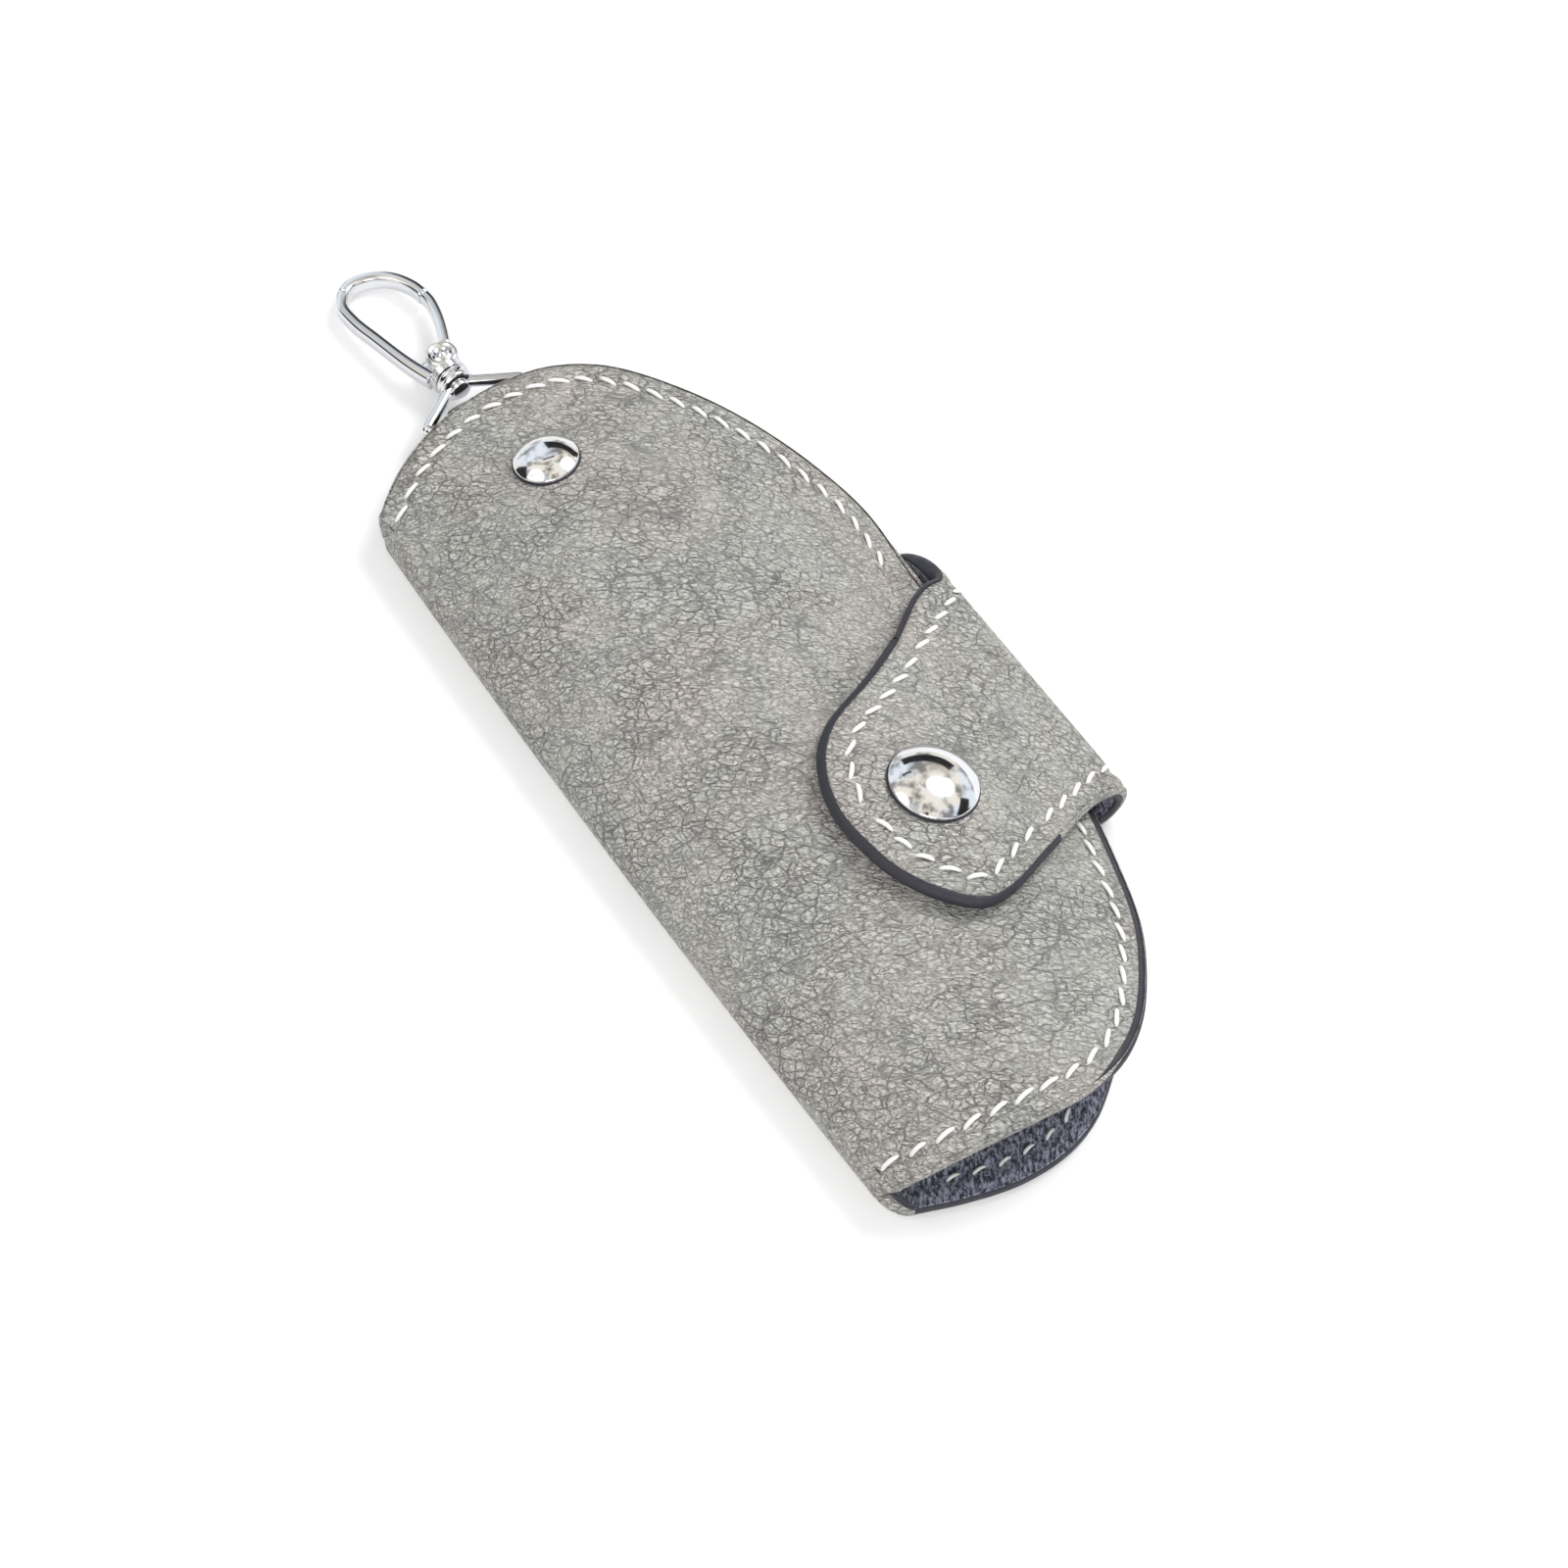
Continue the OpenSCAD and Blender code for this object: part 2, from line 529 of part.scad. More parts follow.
// The bail's legs stand up beside the band, then lean in to the hub
stand_share = 0.19;
stand_len = stand_share * bail_len;
leg_turn = atan(bail_w / 2 / (bail_len - stand_len));
leg_len = norm([bail_w / 2, bail_len - stand_len]);
head_r = post_r + rim_t;
head_len = 2 * rim_t;
module rod(len) rotate([-90, 0, 0]) cylinder(d = bail_wire_d, h = len, $fn = round_fn / 2);
module bail() color(metal_colour) placed() at_bar() difference() {
    union() {
        rotate([0, 90, 0]) cylinder(d = bail_wire_d, h = bail_w, center = true, $fn = round_fn / 2);
        for (side = [-1, 1]) translate([side * bail_w / 2, 0, 0]) {
            sphere(r = bail_wire_d / 2 + stem_fit, $fn = round_fn / 2);
            rod(stand_len);
            translate([0, stand_len, 0]) {
                sphere(r = bail_wire_d / 2 + stem_fit, $fn = round_fn / 2);
                rotate([0, 0, side * leg_turn]) rod(leg_len);
            }
        }
        translate([0, bail_len - hub_len / 2, 0]) rotate([-90, 0, 0])
            cylinder(r = hub_r, h = hub_len, $fn = round_fn);
    }
    translate([0, bail_len - hub_len / 2 - cut, 0]) rotate([-90, 0, 0])
        cylinder(r = post_r + stem_fit, h = hub_len + 2 * cut, $fn = round_fn);
    translate([0, bail_len - hub_len / 2, 0]) rotate([90, 0, 0])
        cylinder(r = head_r + run_gap, h = hub_len, $fn = round_fn);
}

collar_r = 2.8;
collar_len = 1.1;
post_gap = 0.1;
module swivel_post() color(metal_colour) placed() at_hub() {
    translate([0, -hub_len / 2 - post_gap - head_len, 0]) rotate([-90, 0, 0])
        cylinder(r = head_r, h = head_len, $fn = round_fn);
    translate([0, -hub_len / 2 - post_gap, 0]) rotate([-90, 0, 0])
        cylinder(r = post_r, h = hub_len + 2 * post_gap, $fn = round_fn);
}

// The clasp in its own plane: middle lines of the hook and the gate, as shares of half its width and of its length
hook_shares = [
    [-0.36, 0.09], [-0.55, 0.27], [-0.72, 0.52], [-0.83, 0.70], [-0.79, 0.85],
    [-0.42, 0.945], [0.10, 0.935], [0.52, 0.855], [0.76, 0.735], [0.84, 0.61]];
gate_shares = [
    [0.42, 0.265], [0.66, 0.40], [0.80, 0.52], [0.84, 0.61], [0.76, 0.735]];
// Place of the pivot across the clasp, as a share of half its width
pivot_share = 0.14;
function clasp_pts(shares) = [for (s = shares) [s[0] * clasp_w / 2, s[1] * clasp_len]];
hook_line = clasp_pts(hook_shares);
neck_y = hub_len / 2 + post_gap + collar_len;
pivot = [pivot_share * clasp_w / 2, neck_y + rosette_r + post_gap];
gate_line = concat([pivot], clasp_pts(gate_shares));
// Strip of even width along a middle line
module strip(p, w, n) polygon(concat(
    [for (i = [0:n]) moved(p, i / n, w / 2)],
    [for (i = [0:n]) moved(p, 1 - i / n, -w / 2)]));
eye_r = 2.5;
eye_t = 1.2;
// Radius about the pin at which the gate's tip meets the hook's end
tip_share = 0.481;
tip_r = tip_share * clasp_len;
module pin_bore(r) translate([pivot[0], pivot[1], -clasp_t]) cylinder(r = r, h = 2 * clasp_t, $fn = round_fn);
module clasp_body() color(metal_colour) placed() at_hub() difference() {
    union() {
        translate([0, hub_len / 2 + post_gap, 0]) rotate([-90, 0, 0])
            cylinder(r = collar_r, h = collar_len, $fn = round_fn);
        translate([0, 0, -clasp_t / 2]) linear_extrude(clasp_t) {
            difference() {
                strip(hook_line, arm_w, 3 * arc_steps);
                translate(pivot) intersection() {
                    circle(r = tip_r + run_gap, $fn = 4 * round_fn);
                    translate([0, -tip_r * 2]) square(4 * tip_r);
                }
            }
            translate(pivot) circle(r = eye_r, $fn = round_fn);
            translate([-collar_r, neck_y - cut]) square([2 * collar_r, pivot[1] + 2 * rim_t - neck_y + cut]);
        }
    }
    translate([pivot[0], pivot[1], -eye_t / 2 - post_gap]) linear_extrude(eye_t + 2 * post_gap) {
        circle(r = eye_r + run_gap, $fn = round_fn);
        square(clasp_w);
    }
    pin_bore(gate_pin_r + stem_fit / 2);
    spring_pocket();
}
module clasp_gate() color(metal_colour) placed() at_hub() difference() {
    union() {
        translate([pivot[0], pivot[1], -eye_t / 2]) cylinder(r = eye_r, h = eye_t, $fn = round_fn);
        translate([0, 0, -eye_t / 2]) linear_extrude(eye_t) strip(gate_line, arm_w, 2 * arc_steps);
        translate([0, 0, -clasp_t / 2]) linear_extrude(clasp_t) difference() {
            strip(gate_line, arm_w, 2 * arc_steps);
            translate(pivot) circle(r = eye_r + run_gap, $fn = round_fn);
        }
    }
    pin_bore(gate_pin_r + stem_fit);
    translate([pivot[0], pivot[1], -clasp_t]) linear_extrude(2 * clasp_t) difference() {
        circle(r = 2 * tip_r, $fn = 4 * round_fn);
        circle(r = tip_r, $fn = 4 * round_fn);
    }
}
module gate_pin() color(metal_colour) placed() at_hub() translate([pivot[0], pivot[1], 0]) {
    cylinder(r = gate_pin_r, h = clasp_t + rim_t, center = true, $fn = round_fn);
    for (side = [0, 1]) mirror([0, 0, side]) translate([0, 0, clasp_t / 2 + stem_fit / 2])
        cylinder(r = rosette_r, h = rim_t, $fn = round_fn);
}

// A small coil behind the gate's eye that pushes it shut, in a pocket of the clasp's root
spring_r = 0.5;
spring_len = 4 * spring_r;
spring_x = pivot[0] - eye_r - spring_r - post_gap;
module spring_pocket() translate([spring_x, pivot[1] - spring_len, 0]) rotate([-90, 0, 0])
    cylinder(r = spring_r + post_gap, h = spring_len, $fn = round_fn / 2);
module gate_spring() color(metal_colour) placed() at_hub()
    translate([spring_x, pivot[1] - spring_len + post_gap, 0]) rotate([-90, 0, 0])
        cylinder(r = spring_r, h = spring_len - 2 * post_gap, $fn = round_fn / 2);

back_leather();
back_lining();
back_stitching();
spine_leather();
spine_lining();
front_leather();
front_lining();
front_stitching();
strap_leather();
strap_lining();
strap_bend_leather();
strap_bend_lining();
strap_stitching();
snap_cap();
snap_socket();
snap_stud();
snap_post();
rivet_cap();
rivet_tail();
key_band();
key_ring();
bail();
swivel_post();
clasp_body();
clasp_gate();
gate_pin();
gate_spring();
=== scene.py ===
import math

import bpy
import numpy as np
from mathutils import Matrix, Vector


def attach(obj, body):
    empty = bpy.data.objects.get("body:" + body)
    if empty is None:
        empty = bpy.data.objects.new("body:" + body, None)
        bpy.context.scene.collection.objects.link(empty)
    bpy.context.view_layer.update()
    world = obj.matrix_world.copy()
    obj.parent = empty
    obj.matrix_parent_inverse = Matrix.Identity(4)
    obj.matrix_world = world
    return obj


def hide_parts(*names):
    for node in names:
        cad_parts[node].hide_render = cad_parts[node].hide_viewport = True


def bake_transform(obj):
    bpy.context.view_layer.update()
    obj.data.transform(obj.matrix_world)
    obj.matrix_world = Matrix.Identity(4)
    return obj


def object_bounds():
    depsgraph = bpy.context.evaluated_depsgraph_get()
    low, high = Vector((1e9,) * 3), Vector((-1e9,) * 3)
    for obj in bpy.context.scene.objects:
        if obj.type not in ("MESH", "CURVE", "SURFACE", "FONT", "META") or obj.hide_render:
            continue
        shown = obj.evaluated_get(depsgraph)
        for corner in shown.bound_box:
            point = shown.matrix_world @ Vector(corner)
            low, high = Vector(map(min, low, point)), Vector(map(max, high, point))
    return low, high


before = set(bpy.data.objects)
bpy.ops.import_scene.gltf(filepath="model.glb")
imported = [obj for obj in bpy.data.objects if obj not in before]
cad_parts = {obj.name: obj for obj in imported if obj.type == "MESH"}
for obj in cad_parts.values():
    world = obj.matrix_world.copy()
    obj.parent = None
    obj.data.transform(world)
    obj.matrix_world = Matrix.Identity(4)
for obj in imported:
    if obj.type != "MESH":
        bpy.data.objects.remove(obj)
frameLow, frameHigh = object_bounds()
rng = np.random.default_rng(7)

# Lengths in millimetres, angles in degrees. X runs from the fold and Y from its lower end; shift brings them to
# the frame. Pairs of shares are of the pouch's width and length, or of the clasp's half width and length.
mm = 0.001
shift = np.array([29.4, 57.2, 0.0])

pouch = dict(
    length=114.4, width=58.8, fold=4.0, rise=(40, 14), fall=(26, 9), edge=(4.9, 6.2),
    flatten=(0.80, 1.14), edgeX=0.975, leather=1.3, lining=0.9,
    bulge=1.1, bulgeEnds=(6, 14), bulgePower=0.7, bulgeFade=9,
    low=[(0.024, -0.032), (0.110, -0.048), (0.220, -0.063), (0.340, -0.075), (0.460, -0.080), (0.570, -0.069),
         (0.670, -0.037), (0.762, 0.015), (0.835, 0.073), (0.892, 0.150), (0.945, 0.245), (0.965, 0.350)],
    high=[(0.024, 1.047), (0.110, 1.077), (0.220, 1.101), (0.340, 1.114), (0.460, 1.115), (0.580, 1.103),
          (0.700, 1.064), (0.815, 0.985), (0.905, 0.900), (0.967, 0.815), (0.998, 0.725), (0.978, 0.615)],
    backLow=[(0.060, -0.050), (0.170, -0.072), (0.289, -0.088), (0.408, -0.089), (0.510, -0.073), (0.604, -0.040),
             (0.697, -0.002), (0.782, 0.044), (0.850, 0.100), (0.905, 0.170), (0.940, 0.254), (0.961, 0.350)],
    backHigh=[(0.060, 1.060), (0.170, 1.098), (0.289, 1.119), (0.408, 1.128), (0.527, 1.124), (0.646, 1.098),
              (0.757, 1.045), (0.850, 0.966), (0.927, 0.874), (0.969, 0.782), (0.986, 0.699), (0.975, 0.612)],
)
wall = pouch["leather"] + pouch["lining"]
fitGap = 0.05
# Radius of a turned profile's points on its axis
onAxis = 0.001


def sized(shares):
    return np.array(shares, float) * [pouch["width"], pouch["length"]]


def smooth(k):
    k = np.clip(k, 0, 1)
    return k * k * (3 - 2 * k)


def unit(v):
    return v / np.maximum(np.linalg.norm(v, axis=-1, keepdims=True), 1e-9)


# Catmull-Rom curve through the points, k from 0 to 1
def curve(points, k):
    p = np.vstack([2 * points[0] - points[1], points, 2 * points[-1] - points[-2]])
    n = len(points) - 1
    s = np.clip(np.asarray(k, float) * n, 0, n)
    i = np.minimum(s.astype(int), n - 1)
    u = (s - i)[..., None]
    a, b, c, d = p[i], p[i + 1], p[i + 2], p[i + 3]
    square, cube = 2 * a - 5 * b + 4 * c - d, 3 * b - a - 3 * c + d
    return 0.5 * (2 * b + (c - a) * u + square * u ** 2 + cube * u ** 3)


# Front's section at y: the fold's circle, then a cubic from its tangent to the open edge
def section(y):
    lo, hi = pouch["flatten"]
    e = smooth((y / pouch["length"] - lo) / (hi - lo))
    r = pouch["fold"]
    rise = np.radians(pouch["rise"][0] + (pouch["rise"][1] - pouch["rise"][0]) * e)
    fall = np.radians(pouch["fall"][0] + (pouch["fall"][1] - pouch["fall"][0]) * e)
    edgeZ = pouch["edge"][0] + (pouch["edge"][1] - pouch["edge"][0]) * e
    x0 = r - r * np.sin(rise)
    return x0, r + r * np.cos(rise), np.tan(rise), pouch["edgeX"] * pouch["width"], edgeZ, -np.tan(fall)


# Height and slope of the front: r + sqrt(r ** 2 - (x - r) ** 2) on the fold, then the cubic through z0 with slope m0
# and z1 with slope m1, u from 0 to 1 between them
def frontHeight(x, y):
    x0, z0, m0, x1, z1, m1 = section(y)
    r = pouch["fold"]
    span = x1 - x0
    u = np.clip((x - x0) / span, 0, 1)
    z = ((2 * u ** 3 - 3 * u ** 2 + 1) * z0 + (u ** 3 - 2 * u ** 2 + u) * span * m0
         + (3 * u ** 2 - 2 * u ** 3) * z1 + (u ** 3 - u ** 2) * span * m1)
    slope = ((6 * u ** 2 - 6 * u) * (z0 - z1) / span + (3 * u ** 2 - 4 * u + 1) * m0 + (3 * u ** 2 - 2 * u) * m1)
    inner = np.sqrt(np.maximum(r * r - (x - r) ** 2, 1e-4))
    z = np.where(x < x0, r + inner, np.where(x > x1, z1 + m1 * (x - x1), z))
    slope = np.where(x < x0, (r - x) / inner, np.where(x > x1, m1, slope))
    return z, slope


def frontAt(x, y, off=0.0):
    z, d = frontHeight(x, y)
    q = np.sqrt(1 + d * d)
    return np.stack([x - off * d / q, y + 0 * x, z + off / q], -1)


strap = dict(
    gap=1.0, wrap=4.5, leave=0.752, bend=0.770, root=(0.228, 0.575), flare=9.0, flareRate=1.4,
    leaveLow=0.38, leaveHigh=0.60,
    low=[(0.392, 0.310), (0.408, 0.255), (0.440, 0.212), (0.484, 0.179), (0.530, 0.161),
         (0.580, 0.160), (0.640, 0.169), (0.700, 0.182), (0.770, 0.196)],
    high=[(0.392, 0.340), (0.410, 0.378), (0.448, 0.415), (0.500, 0.440), (0.555, 0.455),
          (0.610, 0.467), (0.665, 0.481), (0.715, 0.496), (0.770, 0.513)],
)
top = strap["gap"] + wall
leaveX = strap["leave"] * pouch["width"]
bendX = strap["bend"] * pouch["width"]
rootY = np.array(strap["root"]) * pouch["length"]
leaveAt = np.array([leaveX]), np.array([rootY.mean()])
leaveFall = -math.atan(frontHeight(*leaveAt)[1][0])
leaveTop = frontAt(*leaveAt, top)[0]
wrapX = (leaveTop[0] * math.sin(leaveFall) + leaveTop[2] * math.cos(leaveFall)
         - strap["wrap"] * (1 + math.cos(leaveFall))) / math.sin(leaveFall)
lineEnd = leaveX + (wrapX + strap["wrap"] * math.sin(leaveFall) - leaveTop[0]) / math.cos(leaveFall)


def strapAt(x, y, off):
    onFront = frontAt(x, y, off)
    start = frontAt(np.full_like(x, leaveX), y, off)
    run = (x - leaveX)[..., None] * np.array([math.cos(leaveFall), 0, -math.sin(leaveFall)])
    return np.where((x <= leaveX)[..., None], onFront, start + run)


# The fold swells outward by bulge * sin(pi * k) ** power, k from 0 to 1 along it, and by exp(-x / fade) over the front
def swell(p):
    before, more = pouch["bulgeEnds"]
    along = np.sin(np.pi * np.clip((p[..., 1] + before) / (pouch["length"] + more), 0, 1)) ** pouch["bulgePower"]
    out = np.array(p, float)
    out[..., 0] -= pouch["bulge"] * along * np.exp(-np.maximum(p[..., 0], 0) / pouch["bulgeFade"])
    return out


def toFrame(p):
    return (np.asarray(p, float) - shift) * mm


# Four-sided faces of a grid of n by m points
def gridFaces(n, m, wrapRows=False, wrapCols=False):
    i = np.arange(n if wrapRows else n - 1)[:, None]
    j = np.arange(m if wrapCols else m - 1)[None, :]
    i2, j2 = (i + 1) % n, (j + 1) % m
    return np.stack([i * m + j, i * m + j2, i2 * m + j2, i2 * m + j], -1).reshape(-1, 4)


def makeMesh(name, points, faces, material, flat=False):
    mesh = bpy.data.meshes.new(name)
    mesh.from_pydata(np.asarray(points).reshape(-1, 3).tolist(), [], [list(map(int, f)) for f in faces])
    mesh.validate()
    mesh.update()
    if flat:
        mesh.shade_flat()
    else:
        mesh.shade_smooth()
    obj = bpy.data.objects.new(name, mesh)
    bpy.context.scene.collection.objects.link(obj)
    obj.data.materials.append(material)
    return obj


def joinParts(parts):
    points, faces, base = [], [], 0
    for p, f in parts:
        p = np.asarray(p).reshape(-1, 3)
        points.append(p)
        faces += [[int(v) + base for v in q] for q in f]
        base += len(p)
    return np.vstack(points), faces


# Tube of any section swept along a path; the section lies in the side and up directions, one for all or one for
# each point
def sweep(path, side, up, profile, closed=False):
    side, up = (np.broadcast_to(np.asarray(a, float), path.shape) for a in (side, up))
    prof = np.asarray(profile, float)
    if prof.ndim == 2:
        prof = np.repeat(prof[None], len(path), 0)
    points = path[:, None] + prof[..., :1] * side[:, None] + prof[..., 1:] * up[:, None]
    n, m = points.shape[:2]
    faces = [list(f) for f in gridFaces(n, m, wrapRows=closed, wrapCols=True)]
    if not closed:
        faces += [list(range(m))[::-1], [(n - 1) * m + v for v in range(m)]]
    return points.reshape(-1, 3), faces


# Rounded rectangle as a superellipse, |x / a| ** power + |y / b| ** power = 1
def rounded(a, b, count, power=4.0):
    t = np.linspace(0, 2 * np.pi, count, endpoint=False)
    c, s = np.cos(t), np.sin(t)
    x = a * np.sign(c) * np.abs(c) ** (2 / power)
    return np.stack([x, b * np.sign(s) * np.abs(s) ** (2 / power)], -1)


# Turned solid from pairs of radius and height, round the Z axis
def turned(profile, count=72):
    prof = np.asarray(profile, float)
    t = np.linspace(0, 2 * np.pi, count, endpoint=False)
    r, z = prof[:, 0][:, None], prof[:, 1][:, None]
    points = np.stack([r * np.cos(t), r * np.sin(t), z + 0 * t], -1)
    return points.reshape(-1, 3), [list(f) for f in gridFaces(len(prof), count, wrapCols=True)]


# Sweep along a curve in the XY plane
def sweepFlat(line, profile):
    path = np.stack([line[:, 0], line[:, 1], 0 * line[:, 0]], -1)
    tangent = unit(np.gradient(path, axis=0))
    return sweep(path, np.cross([0.0, 0, 1], tangent), [0, 0, 1], profile)


# Parts turned by the basis and moved to the origin
def placedAt(parts, origin=(0, 0, 0), basis=np.eye(3)):
    return [(np.asarray(p).reshape(-1, 3) @ np.asarray(basis).T + origin, f) for p, f in parts]


# Point on the front at x, y, and the axes of a piece that sits flat on it
def faceBasis(x, y):
    e = pouch["fold"] / 8
    xs, ys = np.array([x, x, x]), np.array([y, y - e, y + e])
    z, d = frontHeight(xs, ys)
    n = unit(np.array([-d[0], -(z[2] - z[1]) / (2 * e), 1.0]))
    ax = unit(np.cross([0, 1, 0], n))
    return np.array([x, y, z[0]]), np.stack([ax, np.cross(n, ax), n], -1)


def turnZ(deg):
    a = math.radians(deg)
    return np.array([[math.cos(a), -math.sin(a), 0], [math.sin(a), math.cos(a), 0], [0, 0, 1]])


def turnX(deg):
    a = math.radians(deg)
    return np.array([[1, 0, 0], [0, math.cos(a), -math.sin(a)], [0, math.sin(a), math.cos(a)]])


# Material with its node graph and shader
def newMaterial(name):
    mat = bpy.data.materials.new(name)
    mat.use_nodes = True
    tree = mat.node_tree
    tree.nodes.clear()
    out = tree.nodes.new("ShaderNodeOutputMaterial")
    shader = tree.nodes.new("ShaderNodeBsdfPrincipled")
    tree.links.new(shader.outputs[0], out.inputs[0])
    return mat, Graph(tree), shader


class Graph:
    def __init__(self, tree):
        self.tree = tree
        self.coords = tree.nodes.new("ShaderNodeTexCoord").outputs["Object"]

    def put(self, socket, value):
        if isinstance(value, bpy.types.NodeSocket):
            self.tree.links.new(value, socket)
        else:
            socket.default_value = value

    # New node of a kind: its settings, then those of its inputs that have a value
    def node(self, kind, inputs, **settings):
        n = self.tree.nodes.new("ShaderNode" + kind)
        for key, value in settings.items():
            setattr(n, key, value)
        for key, value in inputs.items():
            if value is not None:
                self.put(n.inputs[key], value)
        return n

    def stretched(self, angle, factors):
        n = self.node("VectorRotate", {"Vector": self.coords, "Angle": angle}, rotation_type="Z_AXIS")
        return self.vector("MULTIPLY", n.outputs[0], factors)

    def noise(self, scale, detail=3.0, rough=0.55, at=None, out=0):
        inputs = {"Vector": at or self.coords, "Scale": scale, "Detail": detail, "Roughness": rough}
        return self.node("TexNoise", inputs).outputs[out]

    def cells(self, scale, at=None, feature="DISTANCE_TO_EDGE"):
        n = self.node("TexVoronoi", {"Vector": at or self.coords, "Scale": scale}, feature=feature)
        return n.outputs["Distance"]

    def warp(self, scale, amount, at=None):
        shiftBy = self.vector("SUBTRACT", self.noise(scale, 3, 0.6, at, 1), (0.5, 0.5, 0.5))
        return self.vector("ADD", at or self.coords, self.vector("SCALE", shiftBy, scale=amount))

    def vector(self, op, a, b=None, scale=None):
        n = self.node("VectorMath", {0: a, 1: b, "Scale": scale}, operation=op)
        return n.outputs[1 if op == "LENGTH" else 0]

    def math(self, op, a, b=0.0):
        return self.node("Math", {0: a, 1: b}, operation=op).outputs[0]

    def span(self, value, lo, hi, toLo=0.0, toHi=1.0):
        inputs = {"Value": value, "From Min": lo, "From Max": hi, "To Min": toLo, "To Max": toHi}
        return self.node("MapRange", inputs, interpolation_type="SMOOTHSTEP").outputs[0]

    def mix(self, k, a, b):
        return self.node("Mix", {"Factor": k, "A": a, "B": b}, data_type="RGBA").outputs["Result"]

    def bump(self, height, strength, distance, under=None):
        inputs = {"Strength": strength, "Distance": distance, "Height": height, "Normal": under}
        return self.node("Bump", inputs).outputs[0]


def colour(text):
    c = [int(text[i:i + 2], 16) / 255 for i in (1, 3, 5)]
    return tuple(v / 12.92 if v <= 0.04045 else ((v + 0.055) / 1.055) ** 2.4 for v in c) + (1.0,)


# Leather: three sets of creases round cells, and a pebble grain, on mottled grey. The creases are darkened in colour
# as painted shade; the pebbles are darkened towards their pits as painted shade, which leaves their tops light as
# painted highlight. Each set has its cells per metre, the width of its lines, the noise that makes them come and go,
# and the span of their strength
leather = dict(
    turn=40, squash=(0.50, 1.0, 1.0), fineWarp=(1500, 0.0003), wideWarp=(400, 0.0012),
    creases=((330, 0.070, (120, 3, 0.6), (0.36, 0.62, 0.18, 0.80)),
             (780, 0.100, (85, 2), (0.34, 0.62, 0.52, 0.90)),
             (1500, 0.150, (170, 2), (0.36, 0.60, 0.38, 0.62))),
    creaseShadeMix=0.88, pebble=3000, pebbleShadeMix=(0.30, 0.72, 0.0, 0.46), mottle=(62, 4, 0.6), mottleMix=(0.38, 0.64),
    # Of the colours, the two darkest are painted shade, in the pits between the pebbles and in the creases
    warm="#d9d3cd", cool="#d2d5cf", pebbleShade="#72706c", fold="#454240", rough=(0.3, 0.7, 0.46, 0.56), shine=0.40,
    creaseBump=(0.60, 0.00030), pebbleBump=(0.85, 0.00028),
)


def leatherMaterial():
    mat, g, shader = newMaterial("greyLeather")
    along = g.stretched(math.radians(leather["turn"]), leather["squash"])
    bent = g.warp(*leather["wideWarp"], g.warp(*leather["fineWarp"], along))
    creases = 0.0
    for cells, wide, patches, strength in leather["creases"]:
        line = g.span(g.cells(cells, bent), 0.0, wide, 1.0, 0.0)
        line = g.math("MULTIPLY", line, g.span(g.noise(*patches), *strength))
        creases = g.math("MAXIMUM", creases, line)
    pebble = g.cells(leather["pebble"], along, "F1")
    mottle = g.noise(*leather["mottle"])
    base = g.mix(g.span(mottle, *leather["mottleMix"]), colour(leather["warm"]), colour(leather["cool"]))
    # Pebbles darkened towards their edges and left light on top: painted shade in the pits, painted highlight on the
    # tops
    base = g.mix(g.span(pebble, *leather["pebbleShadeMix"]), base, colour(leather["pebbleShade"]))
    # Crease lines darkened in colour: painted shade in the creases
    base = g.mix(g.math("MULTIPLY", creases, leather["creaseShadeMix"]), base, colour(leather["fold"]))
    g.put(shader.inputs["Base Color"], base)
    g.put(shader.inputs["Roughness"], g.span(mottle, *leather["rough"]))
    shader.inputs["Specular IOR Level"].default_value = leather["shine"]
    deep = g.bump(g.math("MULTIPLY", creases, -1.0), *leather["creaseBump"])
    grain = g.bump(g.math("MULTIPLY", pebble, -1.0), *leather["pebbleBump"], deep)
    g.put(shader.inputs["Normal"], grain)
    return mat


# Suede: a short nap combed one way, which catches light at the edge
suede = dict(nap=(2300, 5, 0.8), turn=34, squash=(1.0, 0.42, 1.0), napMix=(0.43, 0.61), dark="#262839",
             light="#b6b9cd", rough=0.95, sheen=0.5, sheenRough=0.4, bump=(0.9, 0.00045))


def suedeMaterial():
    mat, g, shader = newMaterial("navySuede")
    nap = g.noise(*suede["nap"], g.stretched(math.radians(suede["turn"]), suede["squash"]))
    base = g.mix(g.span(nap, *suede["napMix"]), colour(suede["dark"]), colour(suede["light"]))
    g.put(shader.inputs["Base Color"], base)
    shader.inputs["Roughness"].default_value = suede["rough"]
    shader.inputs["Sheen Weight"].default_value = suede["sheen"]
    shader.inputs["Sheen Roughness"].default_value = suede["sheenRough"]
    g.put(shader.inputs["Normal"], g.bump(nap, *suede["bump"]))
    return mat


# One colour with a fine grain in it
def plainMaterial(name, tint, rough, metallic=0.0, grainScale=900.0, grainDepth=0.00004, spread=0.08):
    mat, g, shader = newMaterial(name)
    fine = g.noise(grainScale, 3)
    dark = tuple(v * (1 - spread) for v in tint[:3]) + (1.0,)
    g.put(shader.inputs["Base Color"], g.mix(fine, dark, tint))
    shader.inputs["Metallic"].default_value = metallic
    g.put(shader.inputs["Roughness"], g.span(fine, 0.3, 0.7, rough * 0.85, rough * 1.15))
    g.put(shader.inputs["Normal"], g.bump(fine, 0.25, grainDepth))
    return mat


leatherMat = leatherMaterial()
suedeMat = suedeMaterial()
edgeMat = plainMaterial("paintedEdge", colour("#262732"), 0.55, grainScale=700, grainDepth=0.00012)
threadMat = plainMaterial("waxedThread", colour("#fbfaf7"), 0.6, grainScale=3500, grainDepth=0.00012, spread=0.04)
chromeMat = plainMaterial("polishedMetal", colour("#dcdde0"), 0.09, 1.0, 300, 0.00001)
bandMat = plainMaterial("blackBand", colour("#17171a"), 0.42, grainScale=1400, grainDepth=0.00012)
print("materials ready")
